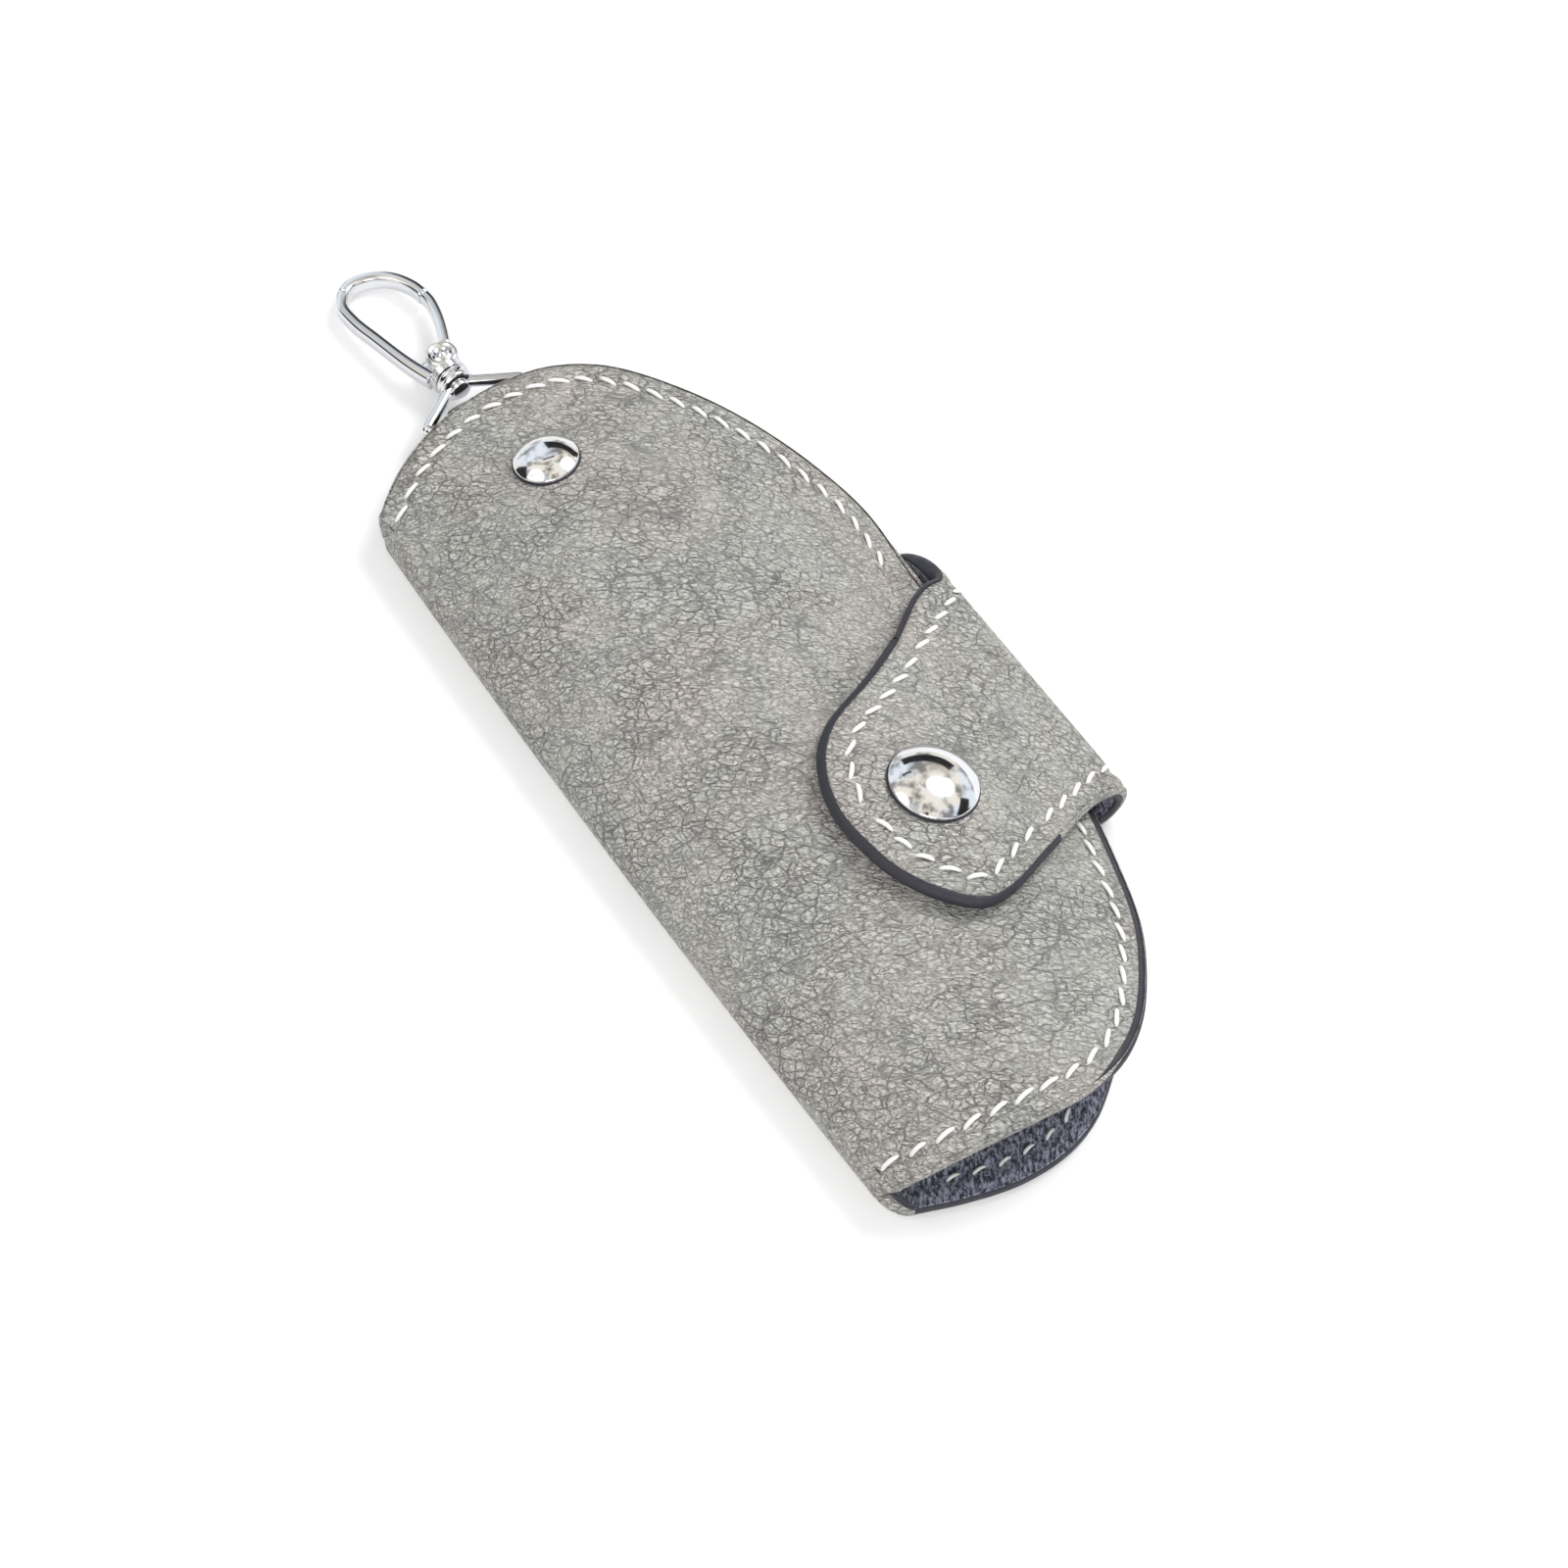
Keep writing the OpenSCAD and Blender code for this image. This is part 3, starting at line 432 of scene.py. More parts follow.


# Mesh of one material that rides on one body
def riding(name, points, faces, material, slotName, body, replaced=()):
    obj = makeMesh(name, toFrame(points), faces, material)
    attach(obj, body)
    if replaced:
        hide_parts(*replaced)


# Distance from points in plan to a polyline
def edgeDistance(xy, line):
    a, b = line[:-1], line[1:]
    d = b - a
    best = np.full(len(xy), 1e9)
    for start in range(0, len(xy), 4000):
        p = xy[start:start + 4000, None]
        t = np.clip(((p - a) * d).sum(-1) / np.maximum((d * d).sum(-1), 1e-9), 0, 1)
        best[start:start + 4000] = np.sqrt((((p - a - t[..., None] * d)) ** 2).sum(-1)).min(1)
    return best


stitch = dict(
    margin=3.0, pitch=3.5, length=2.9, thread=0.60, slant=17.0, slantSpread=2.5, lengthSpread=0.05, sink=0.12,
    arch=0.34, lift=-0.10, bow=0.10, flatWide=1.15, flatHigh=0.8, taper=0.86, insideShare=0.72, early=1.3,
)
# Depths and widths of the pressed seam, of the rounded edge and of the low ridge between them
relief = dict(groove=0.30, grooveWide=0.75, edge=0.30, edgeWide=0.45, ridge=0.10, ridgeAt=1.5, ridgeWide=0.7)


# Height of a stitched sheet at d from its edge: groove and ridge are depth * exp(-((d - at) / wide) ** 2), and the
# edge is rounded off by depth * exp(-d / wide)
def seamHeight(d):
    groove = -relief["groove"] * np.exp(-((d - stitch["margin"]) / relief["grooveWide"]) ** 2)
    ridge = relief["ridge"] * np.exp(-((d - relief["ridgeAt"]) / relief["ridgeWide"]) ** 2)
    return groove - relief["edge"] * np.exp(-d / relief["edgeWide"]) + ridge


# Points across a panel: n along its two borders, m from one to the other
def panelGrid(low, high, n, m):
    k = np.linspace(0, 1, n)
    a, b = curve(low, k), curve(high, k)
    v = np.linspace(0, 1, m)[None, :, None]
    return a[:, None] * (1 - v) + b[:, None] * v


# Border of a panel seen from above: along low, over the far end and back along high
def border(low, high, count=220):
    k = np.linspace(0, 1, count)
    a, b = curve(low, k), curve(high, k)
    end = a[-1] + (b[-1] - a[-1]) * np.linspace(0, 1, count // 3)[1:-1, None]
    return np.vstack([a, end, b[::-1]])


# How far each rim stands out, how far inside the faces it starts, and its rounding
rims = dict(front=0.40, back=0.35, fold=0.35, strap=0.55, tip=0.45, rootLow=0.5, rootHigh=0.95, inset=0.06,
            rounding=0.12)
# Degrees round the rim where its paint starts, and how far the paint runs over the face
paint = dict(split=-8.0, side=90.0, backSplit=62.0, foldSplit=-32, lapThin=0.22, lapWide=0.80, lapLeast=0.04,
             lapLift=0.05)


# Rounded rim between the outer and the inner face: its upper part may be another material than its painted one,
# and the paint may run some way over the face, as far as lap says at each point
def rim(name, line, place, body, reach, upper=None, split=paint["split"], lap=None):
    t = unit(np.gradient(line, axis=0))
    outward = np.stack([t[:, 1], -t[:, 0]], -1)
    reach = reach(outward) if callable(reach) else np.full(len(line), reach)
    spans = [("Paint", edgeMat, "lining", 90.0 if upper is None else split, -90.0)]
    if upper is not None:
        spans.append(("Roll", upper[0], upper[1], 90.0, split))
    for part, material, slotName, first, last in spans:
        rows = []
        for k in np.linspace(0, 1, 13):
            a = np.radians(first + (np.asarray(last) - first) * k) + np.zeros(len(line))
            at = line + outward * (reach * np.cos(a) - rims["rounding"] * np.abs(np.sin(a)) ** 3)[:, None]
            rows.append(place(at[:, 0], at[:, 1], -wall / 2 + (wall / 2 - rims["inset"]) * np.sin(a)))
        points = np.stack(rows, 1)
        riding(name + part, swell(points), gridFaces(*points.shape[:2]), material, slotName, body)
    if lap is None:
        return
    painted = lap > paint["lapLeast"]
    rows = []
    for k in np.linspace(1, 0, 6):
        inset = lap[painted] * k
        at = line[painted] - outward[painted] * inset[:, None]
        rows.append(place(at[:, 0], at[:, 1], seamHeight(inset) + paint["lapLift"]))
    points = np.stack(rows, 1)
    riding(name + "Lap", swell(points), gridFaces(*points.shape[:2]), edgeMat, "lining", body)


low, high = sized(pouch["low"]), sized(pouch["high"])
backLow, backHigh = sized(pouch["backLow"]), sized(pouch["backHigh"])
strapLow, strapHigh = sized(strap["low"]), sized(strap["high"])
fine = ((170, 380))


def skin(name, grid, line, place, material, body, slotName, replaced, depth=0.0, seam=True, inner=False):
    flat = grid.reshape(-1, 2)
    off = np.full(len(flat), -depth)
    if seam:
        off = off + seamHeight(edgeDistance(flat, line))
    points = place(flat[:, 0], flat[:, 1], off)
    faces = gridFaces(*grid.shape[:2])
    riding(name, swell(points), faces if inner else faces[:, ::-1], material, slotName, body, replaced)


frontLine = border(low, high)
skin("frontSkin", panelGrid(low, high, *fine), frontLine, frontAt, leatherMat, "cover", "leather",
     ["front_leather"])
skin("frontSuede", panelGrid(low, high, 70, 120), frontLine, frontAt, suedeMat, "cover", "lining",
     ["front_lining"], wall, False, True)

# The rim is painted on the free side only, most below the strap
lowShare = smooth((0.58 - frontLine[:, 1] / pouch["length"]) / 0.28)
sideShare = smooth((unit(np.gradient(frontLine, axis=0))[:, 1] - 0.40 + 0.45 * lowShare) / 0.45)
rim("frontRim", frontLine, frontAt, "cover", rims["front"], (leatherMat, "leather"),
    paint["split"] + paint["side"] * sideShare, sideShare * (paint["lapThin"] + paint["lapWide"] * lowShare))


def backAt(x, y, off):
    return np.stack([x + 0 * y, y + 0 * x, wall + off + 0 * x], -1)


def backUnder(x, y, off):
    return np.stack([x + 0 * y, y + 0 * x, -off + 0 * x], -1)


backLine = border(backLow, backHigh)
backGrid = panelGrid(backLow, backHigh, *fine)
skin("backSkin", backGrid, backLine, backUnder, leatherMat, "back", "leather", ["back_leather"], 0.0, False, True)
skin("backSuede", backGrid, backLine, backAt, suedeMat, "back", "lining", ["back_lining"])
rim("backRim", backLine, backAt, "back", rims["back"], (suedeMat, "lining"), paint["backSplit"])
print("pouch panels ready")

# The fold: an arc from the back round to the front, notched at both ends
foldR = pouch["fold"]
foldRows, foldCols = 40, 240
frontStart = 180 - math.degrees(math.acos((foldR - low[0][0]) / foldR))


def foldSpan(a):
    k = np.sin(np.radians(np.clip(a - 180, 0, 90)))
    j = np.sin(np.pi / 2 * np.clip((180 - a) / (180 - frontStart), 0, 1))
    lowY = np.where(a > 180, k * curve(backLow, 0.0)[1], j * low[0][1])
    highY = np.where(a > 180, pouch["length"] * (1 - k) + k * curve(backHigh, 0.0)[1],
                     pouch["length"] * (1 - j) + j * high[0][1])
    return lowY, highY


# Circle x = r + radius * cos(a), z = r + radius * sin(a) at each y
def foldGrid(radius):
    a = np.linspace(270, frontStart, foldRows)
    lowY, highY = foldSpan(a)
    v = np.linspace(0, 1, foldCols)
    y = lowY[:, None] + (highY - lowY)[:, None] * v
    rad = np.radians(a)[:, None]
    return np.stack([foldR + radius * np.cos(rad) + 0 * y, y, foldR + radius * np.sin(rad) + 0 * y], -1)


def foldPiece(name, grid, material, flipped, replaced=None):
    faces = gridFaces(*grid.shape[:2])
    obj = makeMesh(name, toFrame(swell(grid)), faces[:, ::-1] if flipped else faces, material)
    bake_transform(obj)
    if replaced:
        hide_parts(replaced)


foldPiece("foldSkin", foldGrid(foldR), leatherMat, True, "spine_leather")
foldPiece("foldSuede", foldGrid(foldR - wall), suedeMat, False, "spine_lining")
foldEndSpans = (("Roll", leatherMat, "leather", 90, paint["foldSplit"]),
                ("Paint", edgeMat, "lining", paint["foldSplit"], -90))
for side, name in ((0, "foldEndLow"), (-1, "foldEndHigh")):
    mid = foldGrid(foldR - wall / 2)[:, side]
    radial = unit((mid - [foldR, 0, foldR]) * [1, 0, 1])
    outward = np.tile([0.0, 1.0 if side else -1.0, 0.0], (len(mid), 1))
    for part, material, slotName, first, last in foldEndSpans:
        a = np.radians(np.linspace(first, last, 9))
        rows = (mid[:, None] + outward[:, None] * rims["fold"] * np.cos(a)[:, None]
                + radial[:, None] * (wall / 2) * np.sin(a)[:, None])
        foldPiece(name + part, rows, material, side)

# The strap's stiff tongue
strapLine = np.vstack([curve(strapLow, np.linspace(1, 0, 160)), curve(strapHigh, np.linspace(0, 1, 160))])
strapGrid = panelGrid(strapLow, strapHigh, *(((110, 140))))


def strapTop(x, y, off):
    return strapAt(x, y, top + off)


skin("strapSkin", strapGrid, strapLine, strapTop, leatherMat, "strap", "leather", ["strap_leather"])
skin("strapSuede", strapGrid, strapLine, strapTop, suedeMat, "strap", "lining", ["strap_lining"], wall, False, True)


def strapReach(outward):
    return rims["strap"] + rims["tip"] * np.clip(0.35 - outward[:, 0], 0, 1)


rim("strapRim", strapLine[::-1], strapTop, "strap", strapReach)
rootRows, rootCols = 66, 90


# The strap's root: straight on, then round the open edge; its upper side flares towards the back panel
def rootGrid(off):
    straight = rootRows // 3
    x = np.linspace(bendX, lineEnd, straight)
    k = (x - bendX) / (lineEnd - bendX)
    lowY, highY = ((2 * k ** 3 - 3 * k ** 2 + 1) * side[-1][1] + (k ** 3 - 2 * k ** 2 + k) * (lineEnd - bendX) * leave
                   + (3 * k ** 2 - 2 * k ** 3) * end for side, leave, end in
                   ((strapLow, strap["leaveLow"], rootY[0]), (strapHigh, strap["leaveHigh"], rootY[1])))
    a = np.linspace(90 - math.degrees(leaveFall), -90, rootRows - straight + 1)[1:]
    turn = np.linspace(0, 1, len(a))
    lowY = np.concatenate([lowY, np.full(len(a), rootY[0])])
    highY = np.concatenate([highY, rootY[1] + strap["flare"] * smooth(turn * strap["flareRate"])])
    v = np.linspace(0, 1, rootCols)
    y = lowY[:, None] + (highY - lowY)[:, None] * v
    depth = np.broadcast_to(off, y.shape)
    first = strapAt(np.repeat(x[:, None], rootCols, 1), y[:straight], top + depth[:straight])
    rad = np.radians(a)[:, None]
    reach = strap["wrap"] + depth[straight:]
    second = np.stack([wrapX + reach * np.cos(rad), y[straight:], strap["wrap"] + reach * np.sin(rad)], -1)
    return np.concatenate([first, second])


def rootPiece(name, points, faces, material, slotName, replaced=None):
    obj = makeMesh(name, toFrame(points), faces, material)
    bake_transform(obj)
    if replaced:
        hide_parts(replaced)


plain = rootGrid(0.0)
sideGap = np.minimum(plain[..., 1] - plain[:, :1, 1], plain[:, -1:, 1] - plain[..., 1])
outer = rootGrid(seamHeight(sideGap))
rootPiece("rootSkin", outer, gridFaces(rootRows, rootCols)[:, ::-1], leatherMat, "leather", "strap_bend_leather")
rootPiece("rootSuede", rootGrid(-wall), gridFaces(rootRows, rootCols), suedeMat, "lining", "strap_bend_lining")
for side, name, reach, upper in ((0, "rootRimLow", rims["rootLow"], True),
                                 (-1, "rootRimHigh", rims["rootHigh"], False)):
    spans = [("Paint", edgeMat, "lining", 0 if upper else 90, -90)]
    if upper:
        spans.append(("Roll", leatherMat, "leather", 90, 0))
    for part, material, slotName, first, last in spans:
        rows = np.stack([rootGrid(-wall / 2 + (wall / 2 - rims["inset"]) * math.sin(t))[:, side]
                         + np.array([0, (reach if side else -reach) * math.cos(t), 0])
                         for t in np.radians(np.linspace(first, last, 11))], 1)
        faces = gridFaces(*rows.shape[:2])
        rootPiece(name + part, rows, faces[:, ::-1] if side else faces, material, slotName)
print("fold and strap ready")


# Places at even steps along a curve, moved aside by inset, and the curve's direction there
def seamPoints(points, inset, skip=0.0):
    k = np.linspace(0, 1, 900)
    p = curve(points, k)
    t = unit(np.gradient(p, axis=0))
    p = p + inset * np.stack([t[:, 1], -t[:, 0]], -1)
    s = np.concatenate([[0], np.cumsum(np.linalg.norm(np.diff(p, axis=0), axis=1))])
    count = int((s[-1] - skip) / stitch["pitch"])
    want = skip + (np.arange(count) + 0.5) * stitch["pitch"]
    at = np.stack([np.interp(want, s, p[:, i]) for i in (0, 1)], -1)
    along = unit(np.stack([np.interp(want, s, t[:, i]) for i in (0, 1)], -1))
    return at, along


# Slanted crescents of thread: each rises by arch * (1 - u ** 2) and thins to its ends as sqrt(1 - taper * u ** 4)
def stitchRow(at, along, place, sign, share=1.0):
    step, sink = 0.2, -stitch["sink"]
    sideways = np.stack([-along[:, 1], along[:, 0]], -1)
    centre = place(at[:, 0], at[:, 1], sink)
    ahead = place(at[:, 0] + step * along[:, 0], at[:, 1] + step * along[:, 1], sink)
    beside = place(at[:, 0] + step * sideways[:, 0], at[:, 1] + step * sideways[:, 1], sink)
    t = unit(ahead - centre)
    n = unit(np.cross(t, unit(beside - centre)))
    slant = np.radians(stitch["slant"] + rng.normal(0, stitch["slantSpread"], len(at)))[:, None] * sign
    side = np.cross(n, t)
    t, side = t * np.cos(slant) + side * np.sin(slant), side * np.cos(slant) - t * np.sin(slant)
    u = np.linspace(-1, 1, 9)
    rise = stitch["arch"] * (1 - u ** 2) + stitch["lift"]
    bow = stitch["bow"] * (1 - u ** 2) * sign
    size = share * stitch["length"] / 2 * (1 + rng.normal(0, stitch["lengthSpread"], len(at)))
    width = share * stitch["thread"] / 2 * np.sqrt(np.maximum(1 - stitch["taper"] * u ** 4, 0.05))
    flattened = np.stack([width * stitch["flatWide"], width * stitch["flatHigh"]], -1)
    prof = rounded(1, 1, 8, 2.0)[None] * flattened[:, None]
    parts = []
    for i in range(len(at)):
        path = centre[i] + t[i] * (u * size[i])[:, None] + n[i] * rise[:, None] + side[i] * bow[:, None]
        parts.append(sweep(path, side[i], n[i], prof))
    return parts


def swelled(place):
    return lambda x, y, off: swell(place(x, y, off))


# Point on the strap past its stiff part, x being the length from the fold along its straight run and wrap
def rootAt(x, y, off):
    run = np.clip(x, None, lineEnd)
    flat = strapAt(run, y, top + off)
    a = math.pi / 2 - leaveFall - np.maximum(x - lineEnd, 0) / strap["wrap"]
    reach = strap["wrap"] + off
    wrapped = np.stack([wrapX + reach * np.cos(a), y + 0 * a, strap["wrap"] + reach * np.sin(a)], -1)
    return np.where((x > lineEnd)[..., None], wrapped, flat)


margin, early = stitch["margin"], stitch["early"]
rootReach = lineEnd + strap["wrap"] * 1.1
rootLow = np.array([strapLow[-1], [lineEnd, rootY[0]], [rootReach, rootY[0]]])
rootHigh = np.array([strapHigh[-1], [lineEnd, rootY[1]], [rootReach, rootY[1] + 1.5]])
rowsOf = {
    "frontStitches": ("cover", "front_stitching", swelled(frontAt),
                      [(low, -margin, -early, 1), (high, margin, -early, -1)]),
    "backStitches": ("back", "back_stitching", swelled(backAt),
                     [(backLow, -margin, foldR, 1), (backHigh, margin, foldR, -1)]),
    "strapStitches": ("strap", "strap_stitching", strapTop,
                      [(strapLow, -margin, 0, 1), (strapHigh, margin, 0, -1)]),
}
rootParts = []
for points, inset, sign in ((rootLow, -margin, 1), (rootHigh, margin, -1)):
    at, along = seamPoints(points, inset)
    rootParts += stitchRow(at, along, rootAt, sign)
rootPiece("rootStitches", *joinParts(rootParts), threadMat, "thread")
for name, (body, node, place, runs) in rowsOf.items():
    parts = []
    for points, inset, skip, sign in runs:
        at, along = seamPoints(points, inset, skip)
        parts += stitchRow(at, along, place, sign, stitch["insideShare"] if body == "back" else 1.0)
    riding(name, *joinParts(parts), threadMat, "thread", body, [node])
print("stitches ready")


snap = dict(at=(0.594, 0.316), capR=6.15, capH=2.4, studR=2.0, studH=1.3, boreR=2.95, flangeR=4.7, flangeT=0.4)
rivet = dict(at=(0.397, 0.968), capR=4.7, capH=2.0, stemR=1.5, tailR=3.6)
# Both caps: lift off the leather, turned-in edge, dome, and the ring of painted shade round them
cap = dict(lift=0.08, turnedIn=0.17, edgeHigh=0.62, power=2.6, shadeRingIn=0.07, shadeRingWide=0.27, shadeRingHigh=0.13)


# Metal parts, turned by the basis and moved to the origin
def metalPiece(name, parts, origin, basis, body, node, material=chromeMat, slotName="metal"):
    riding(name, *joinParts(placedAt(parts, origin, basis)), material, slotName, body, [node] if node else ())


# Domed cap: a turned-down edge, and a dome whose height falls from its middle as 1 - (r / inner) ** power
def capProfile(radius, height):
    inner = radius - cap["turnedIn"]
    r = np.linspace(inner, onAxis, 36)
    dome = np.stack([r, cap["edgeHigh"] + (height - cap["edgeHigh"]) * (1 - (r / inner) ** cap["power"])], -1)
    edge = [(onAxis, 0.06), (radius - 0.6, 0.06), (radius - 0.3, 0.0), (radius - 0.06, 0.05), (radius, 0.16),
            (radius, 0.42), (radius - 0.05, 0.54)]
    return np.vstack([edge, dome])


snapAt, snapBasis = faceBasis(*sized(snap["at"]))
rivetAt, rivetBasis = faceBasis(*sized(rivet["at"]))
# How far the two flanges lie under the linings
under = 0.28
socketLow = strap["gap"] - under - snap["flangeT"]
postLow = -wall - under


def snapPiece(name, profile, lift, body, node):
    metalPiece(name, [turned(profile)], snapAt + snapBasis[:, 2] * lift, snapBasis, body, node)


snapPiece("snapCap", capProfile(snap["capR"], snap["capH"]), top + cap["lift"], "strap", "snap_cap")
bore, flange, flangeT = snap["boreR"], snap["flangeR"], snap["flangeT"]
socketR = bore + flangeT - fitGap
socketTop = top + 0.12 - socketLow
socketProfile = [
    (bore, 0.1), (bore + 0.1, 0), (flange - 0.1, 0), (flange, 0.2), (flange - 0.1, 0.4), (socketR, 0.42),
    (socketR, socketTop), (onAxis, socketTop), (onAxis, socketTop - 0.4), (bore - 0.15, socketTop - 0.4),
    (bore, socketTop - 0.5), (bore - 0.12, 0.55), (bore, 0.1)]
stud, studTop = snap["studR"], snap["studH"]
studProfile = [
    (onAxis, postLow), (stud, postLow), (stud - 0.1, 0.1), (stud - 0.25, 0.35), (stud, 0.8), (stud - 0.1, 1.1),
    (stud - 0.4, studTop), (0.6, studTop), (onAxis, studTop - 0.15)]
postShape = [(onAxis, -flangeT), (0.9, -flangeT), (1.2, -flangeT + 0.15), (flange - 0.3, -flangeT), (flange, -0.2),
             (flange - 0.2, 0), (onAxis, 0)]
snapPiece("snapSocket", socketProfile, socketLow, "strap", "snap_socket")
snapPiece("snapStud", studProfile, 0.0, "cover", "snap_stud")
snapPiece("snapPost", postShape, postLow, "cover", "snap_post")


# Painted shade round a cap: a dark ring laid on the leather where the cap meets it
def capShadeRing(name, radius, origin, basis, body):
    a = np.radians(np.linspace(0, 180, 9))
    profile = np.stack([radius - cap["shadeRingIn"] + cap["shadeRingWide"] * np.cos(a), cap["shadeRingHigh"] * np.sin(a)], -1)
    metalPiece(name, [turned(profile)], origin, basis, body, None, edgeMat, "lining")


# Rings of painted shade round the snap's cap and the rivet's cap
capShadeRing("snapShadeRing", snap["capR"], snapAt + snapBasis[:, 2] * top, snapBasis, "strap")
capShadeRing("rivetShadeRing", rivet["capR"], rivetAt, rivetBasis, "cover")
band = dict(width=8.5, thick=1.0, out=21.0, back=22.0, drop=0.9, yaw=1.5, pinch=4.0)
bandUnder = wall + band["drop"] + 2 * band["thick"]
rivetStem = [(rivet["stemR"], 0.1), (rivet["stemR"], -bandUnder), (onAxis, -bandUnder)]
rivetParts = [turned(capProfile(rivet["capR"], rivet["capH"])), turned(rivetStem, 32)]
rivetTop = rivetAt + rivetBasis[:, 2] * cap["lift"]
metalPiece("rivetCap", rivetParts, rivetTop, rivetBasis, "cover", "rivet_cap")
tail = rivet["tailR"]
tailProfile = [(onAxis, -0.8), (1.0, -0.74), (1.6, -0.8), (tail - 0.4, -0.6), (tail, -0.3), (tail - 0.1, 0),
               (onAxis, 0)]
tailAt = rivetAt - rivetBasis[:, 2] * (bandUnder + fitGap)
metalPiece("rivetTail", [turned(tailProfile)], tailAt, rivetBasis, "cover", "rivet_tail")
print("snap and rivet ready")

# The key band: a strip of leather round a closed path, pinched at the rivet
ring = dict(outer=28.0, wire=2.4, height=1.7, tilt=11.0)
bail = dict(wire=1.8, width=15.6, length=6.4, stand=0.19, fall=5.6, hubR=2.7, hubLen=2.2)
bandFall = math.atan(rivetBasis[1, 2] / rivetBasis[2, 2])
bandAt = rivetAt - (wall + band["drop"] + band["thick"]) * rivetBasis[:, 2]
bandTurn = turnZ(band["yaw"])
outSlot = bail["wire"] / 2 + fitGap
inSlot = ring["height"] * 0.85
pinch = band["pinch"]
bandEnd = band["out"] - outSlot - band["thick"]
bandStart = band["back"] - inSlot - band["thick"]
slope = math.tan(bandFall)


# Height of the band's middle and half the gap between its layers, v being the way from the rivet
def bandZ(v):
    v = np.asarray(v, float)
    return np.where(v >= -pinch, -v * slope, pinch * slope * (1 - smooth((-v - pinch) / (2 * pinch))))


def bandGap(v):
    v = np.asarray(v, float)
    return np.where(v >= 0, outSlot * smooth((v - pinch) / (band["out"] / 2 - pinch / 2)),
                    inSlot * smooth((-v - pinch) / (band["back"] / 2 - pinch / 2)))


half = band["thick"] / 2


def bandCap(v, slot, angles):
    return np.stack([v + (slot + half) * np.cos(angles), bandZ(v) + (slot + half) * np.sin(angles)], -1)


capA = np.radians(np.linspace(90, -90, 19))[1:-1]
outCap, inCap = bandCap(bandEnd, outSlot, capA), bandCap(-bandStart, inSlot, capA - np.pi)
v = np.linspace(-bandStart, bandEnd, 90)
upper = np.stack([v, bandZ(v) + bandGap(v) + half], -1)
lower = np.stack([v, bandZ(v) - bandGap(v) - half], -1)[::-1]
loop = np.vstack([upper, outCap, lower, inCap])
tangents = unit(np.roll(loop, -1, 0) - np.roll(loop, 1, 0))
path = np.stack([0 * loop[:, 0], loop[:, 0], loop[:, 1]], -1)
normals = np.stack([0 * loop[:, 0], -tangents[:, 1], tangents[:, 0]], -1)
bandParts = [sweep(path, [1, 0, 0], normals, rounded(band["width"] / 2, half, 40, 7.0), closed=True)]
metalPiece("keyBand", bandParts, bandAt, bandTurn, "key_band", "key_band", bandMat, "band")

# The split ring: two turns of flat wire, stepping from one to the other as tanh
ringR = ring["outer"] / 2 - ring["wire"] / 2
boreR = ring["outer"] / 2 - ring["wire"]
ringIn = bandStart - ring["wire"] / 2 - (boreR - math.sqrt(boreR ** 2 - band["width"] ** 2 / 4))
tilt = math.radians(ring["tilt"])
ringAt = bandAt + bandTurn @ np.array([0, -ringIn - ringR * math.cos(tilt), bandZ(-ringIn) - ringR * math.sin(tilt)])
t = np.linspace(0, 4 * np.pi, 260)
drop = ring["height"] / 4 * np.tanh((t - 2 * np.pi) * 2.2)
path = np.stack([ringR * np.cos(t - 0.6), ringR * np.sin(t - 0.6), drop], -1)
outward = unit(path * [1, 1, 0])
coil = sweep(path, outward, [0, 0, 1], rounded(ring["wire"] / 2, ring["height"] / 4 - 0.03, 16, 4.0))
metalPiece("keyRing", [coil], ringAt, bandTurn @ turnX(ring["tilt"]), "key_ring", "key_ring")
print("key band and ring ready")

# The bail: a bar, two short posts, two leaning legs and a hub
barV = bandEnd - fitGap
barAt = bandAt + bandTurn @ np.array([0, barV, float(bandZ(barV))])
barTurn = bandTurn @ turnX(-bail["fall"])
w, length = bail["width"] / 2, bail["length"]
stand = bail["stand"] * length
corner = 1.1
knots = np.array([(-w + corner, 0), (-w + 0.3, 0.3), (-w, corner), (-w, stand + 0.3),
                  (-w * 0.72, stand + (length - stand) * 0.34), (-1.9, length - 0.9), (-1.2, length - 0.3)])
legPath = curve(knots, np.linspace(0, 1, 40))
barPath = np.stack([np.linspace(-w + corner * 0.8, w - corner * 0.8, 12), np.zeros(12)], -1)
wire = rounded(bail["wire"] / 2, bail["wire"] / 2, 20, 2.0)
wires = [sweepFlat(line, wire) for line in (legPath, legPath * [-1, 1], barPath)]
hub, hubLen = bail["hubR"], bail["hubLen"]
hubProfile = [
    (1.3, -hubLen / 2), (hub - 0.5, -hubLen / 2), (hub - 0.1, -hubLen / 2 + 0.3), (hub, -0.3), (hub - 0.25, 0),
    (hub, 0.3), (hub - 0.1, hubLen / 2 - 0.3), (hub - 0.5, hubLen / 2), (1.3, hubLen / 2), (1.3, -hubLen / 2)]
alongY = np.array([[1.0, 0, 0], [0, 0, 1.0], [0, -1.0, 0]])
hubParts = placedAt([turned(hubProfile, 48)], (0, length, 0), alongY)
metalPiece("bailWire", wires + hubParts, barAt, barTurn, "bail", "bail")

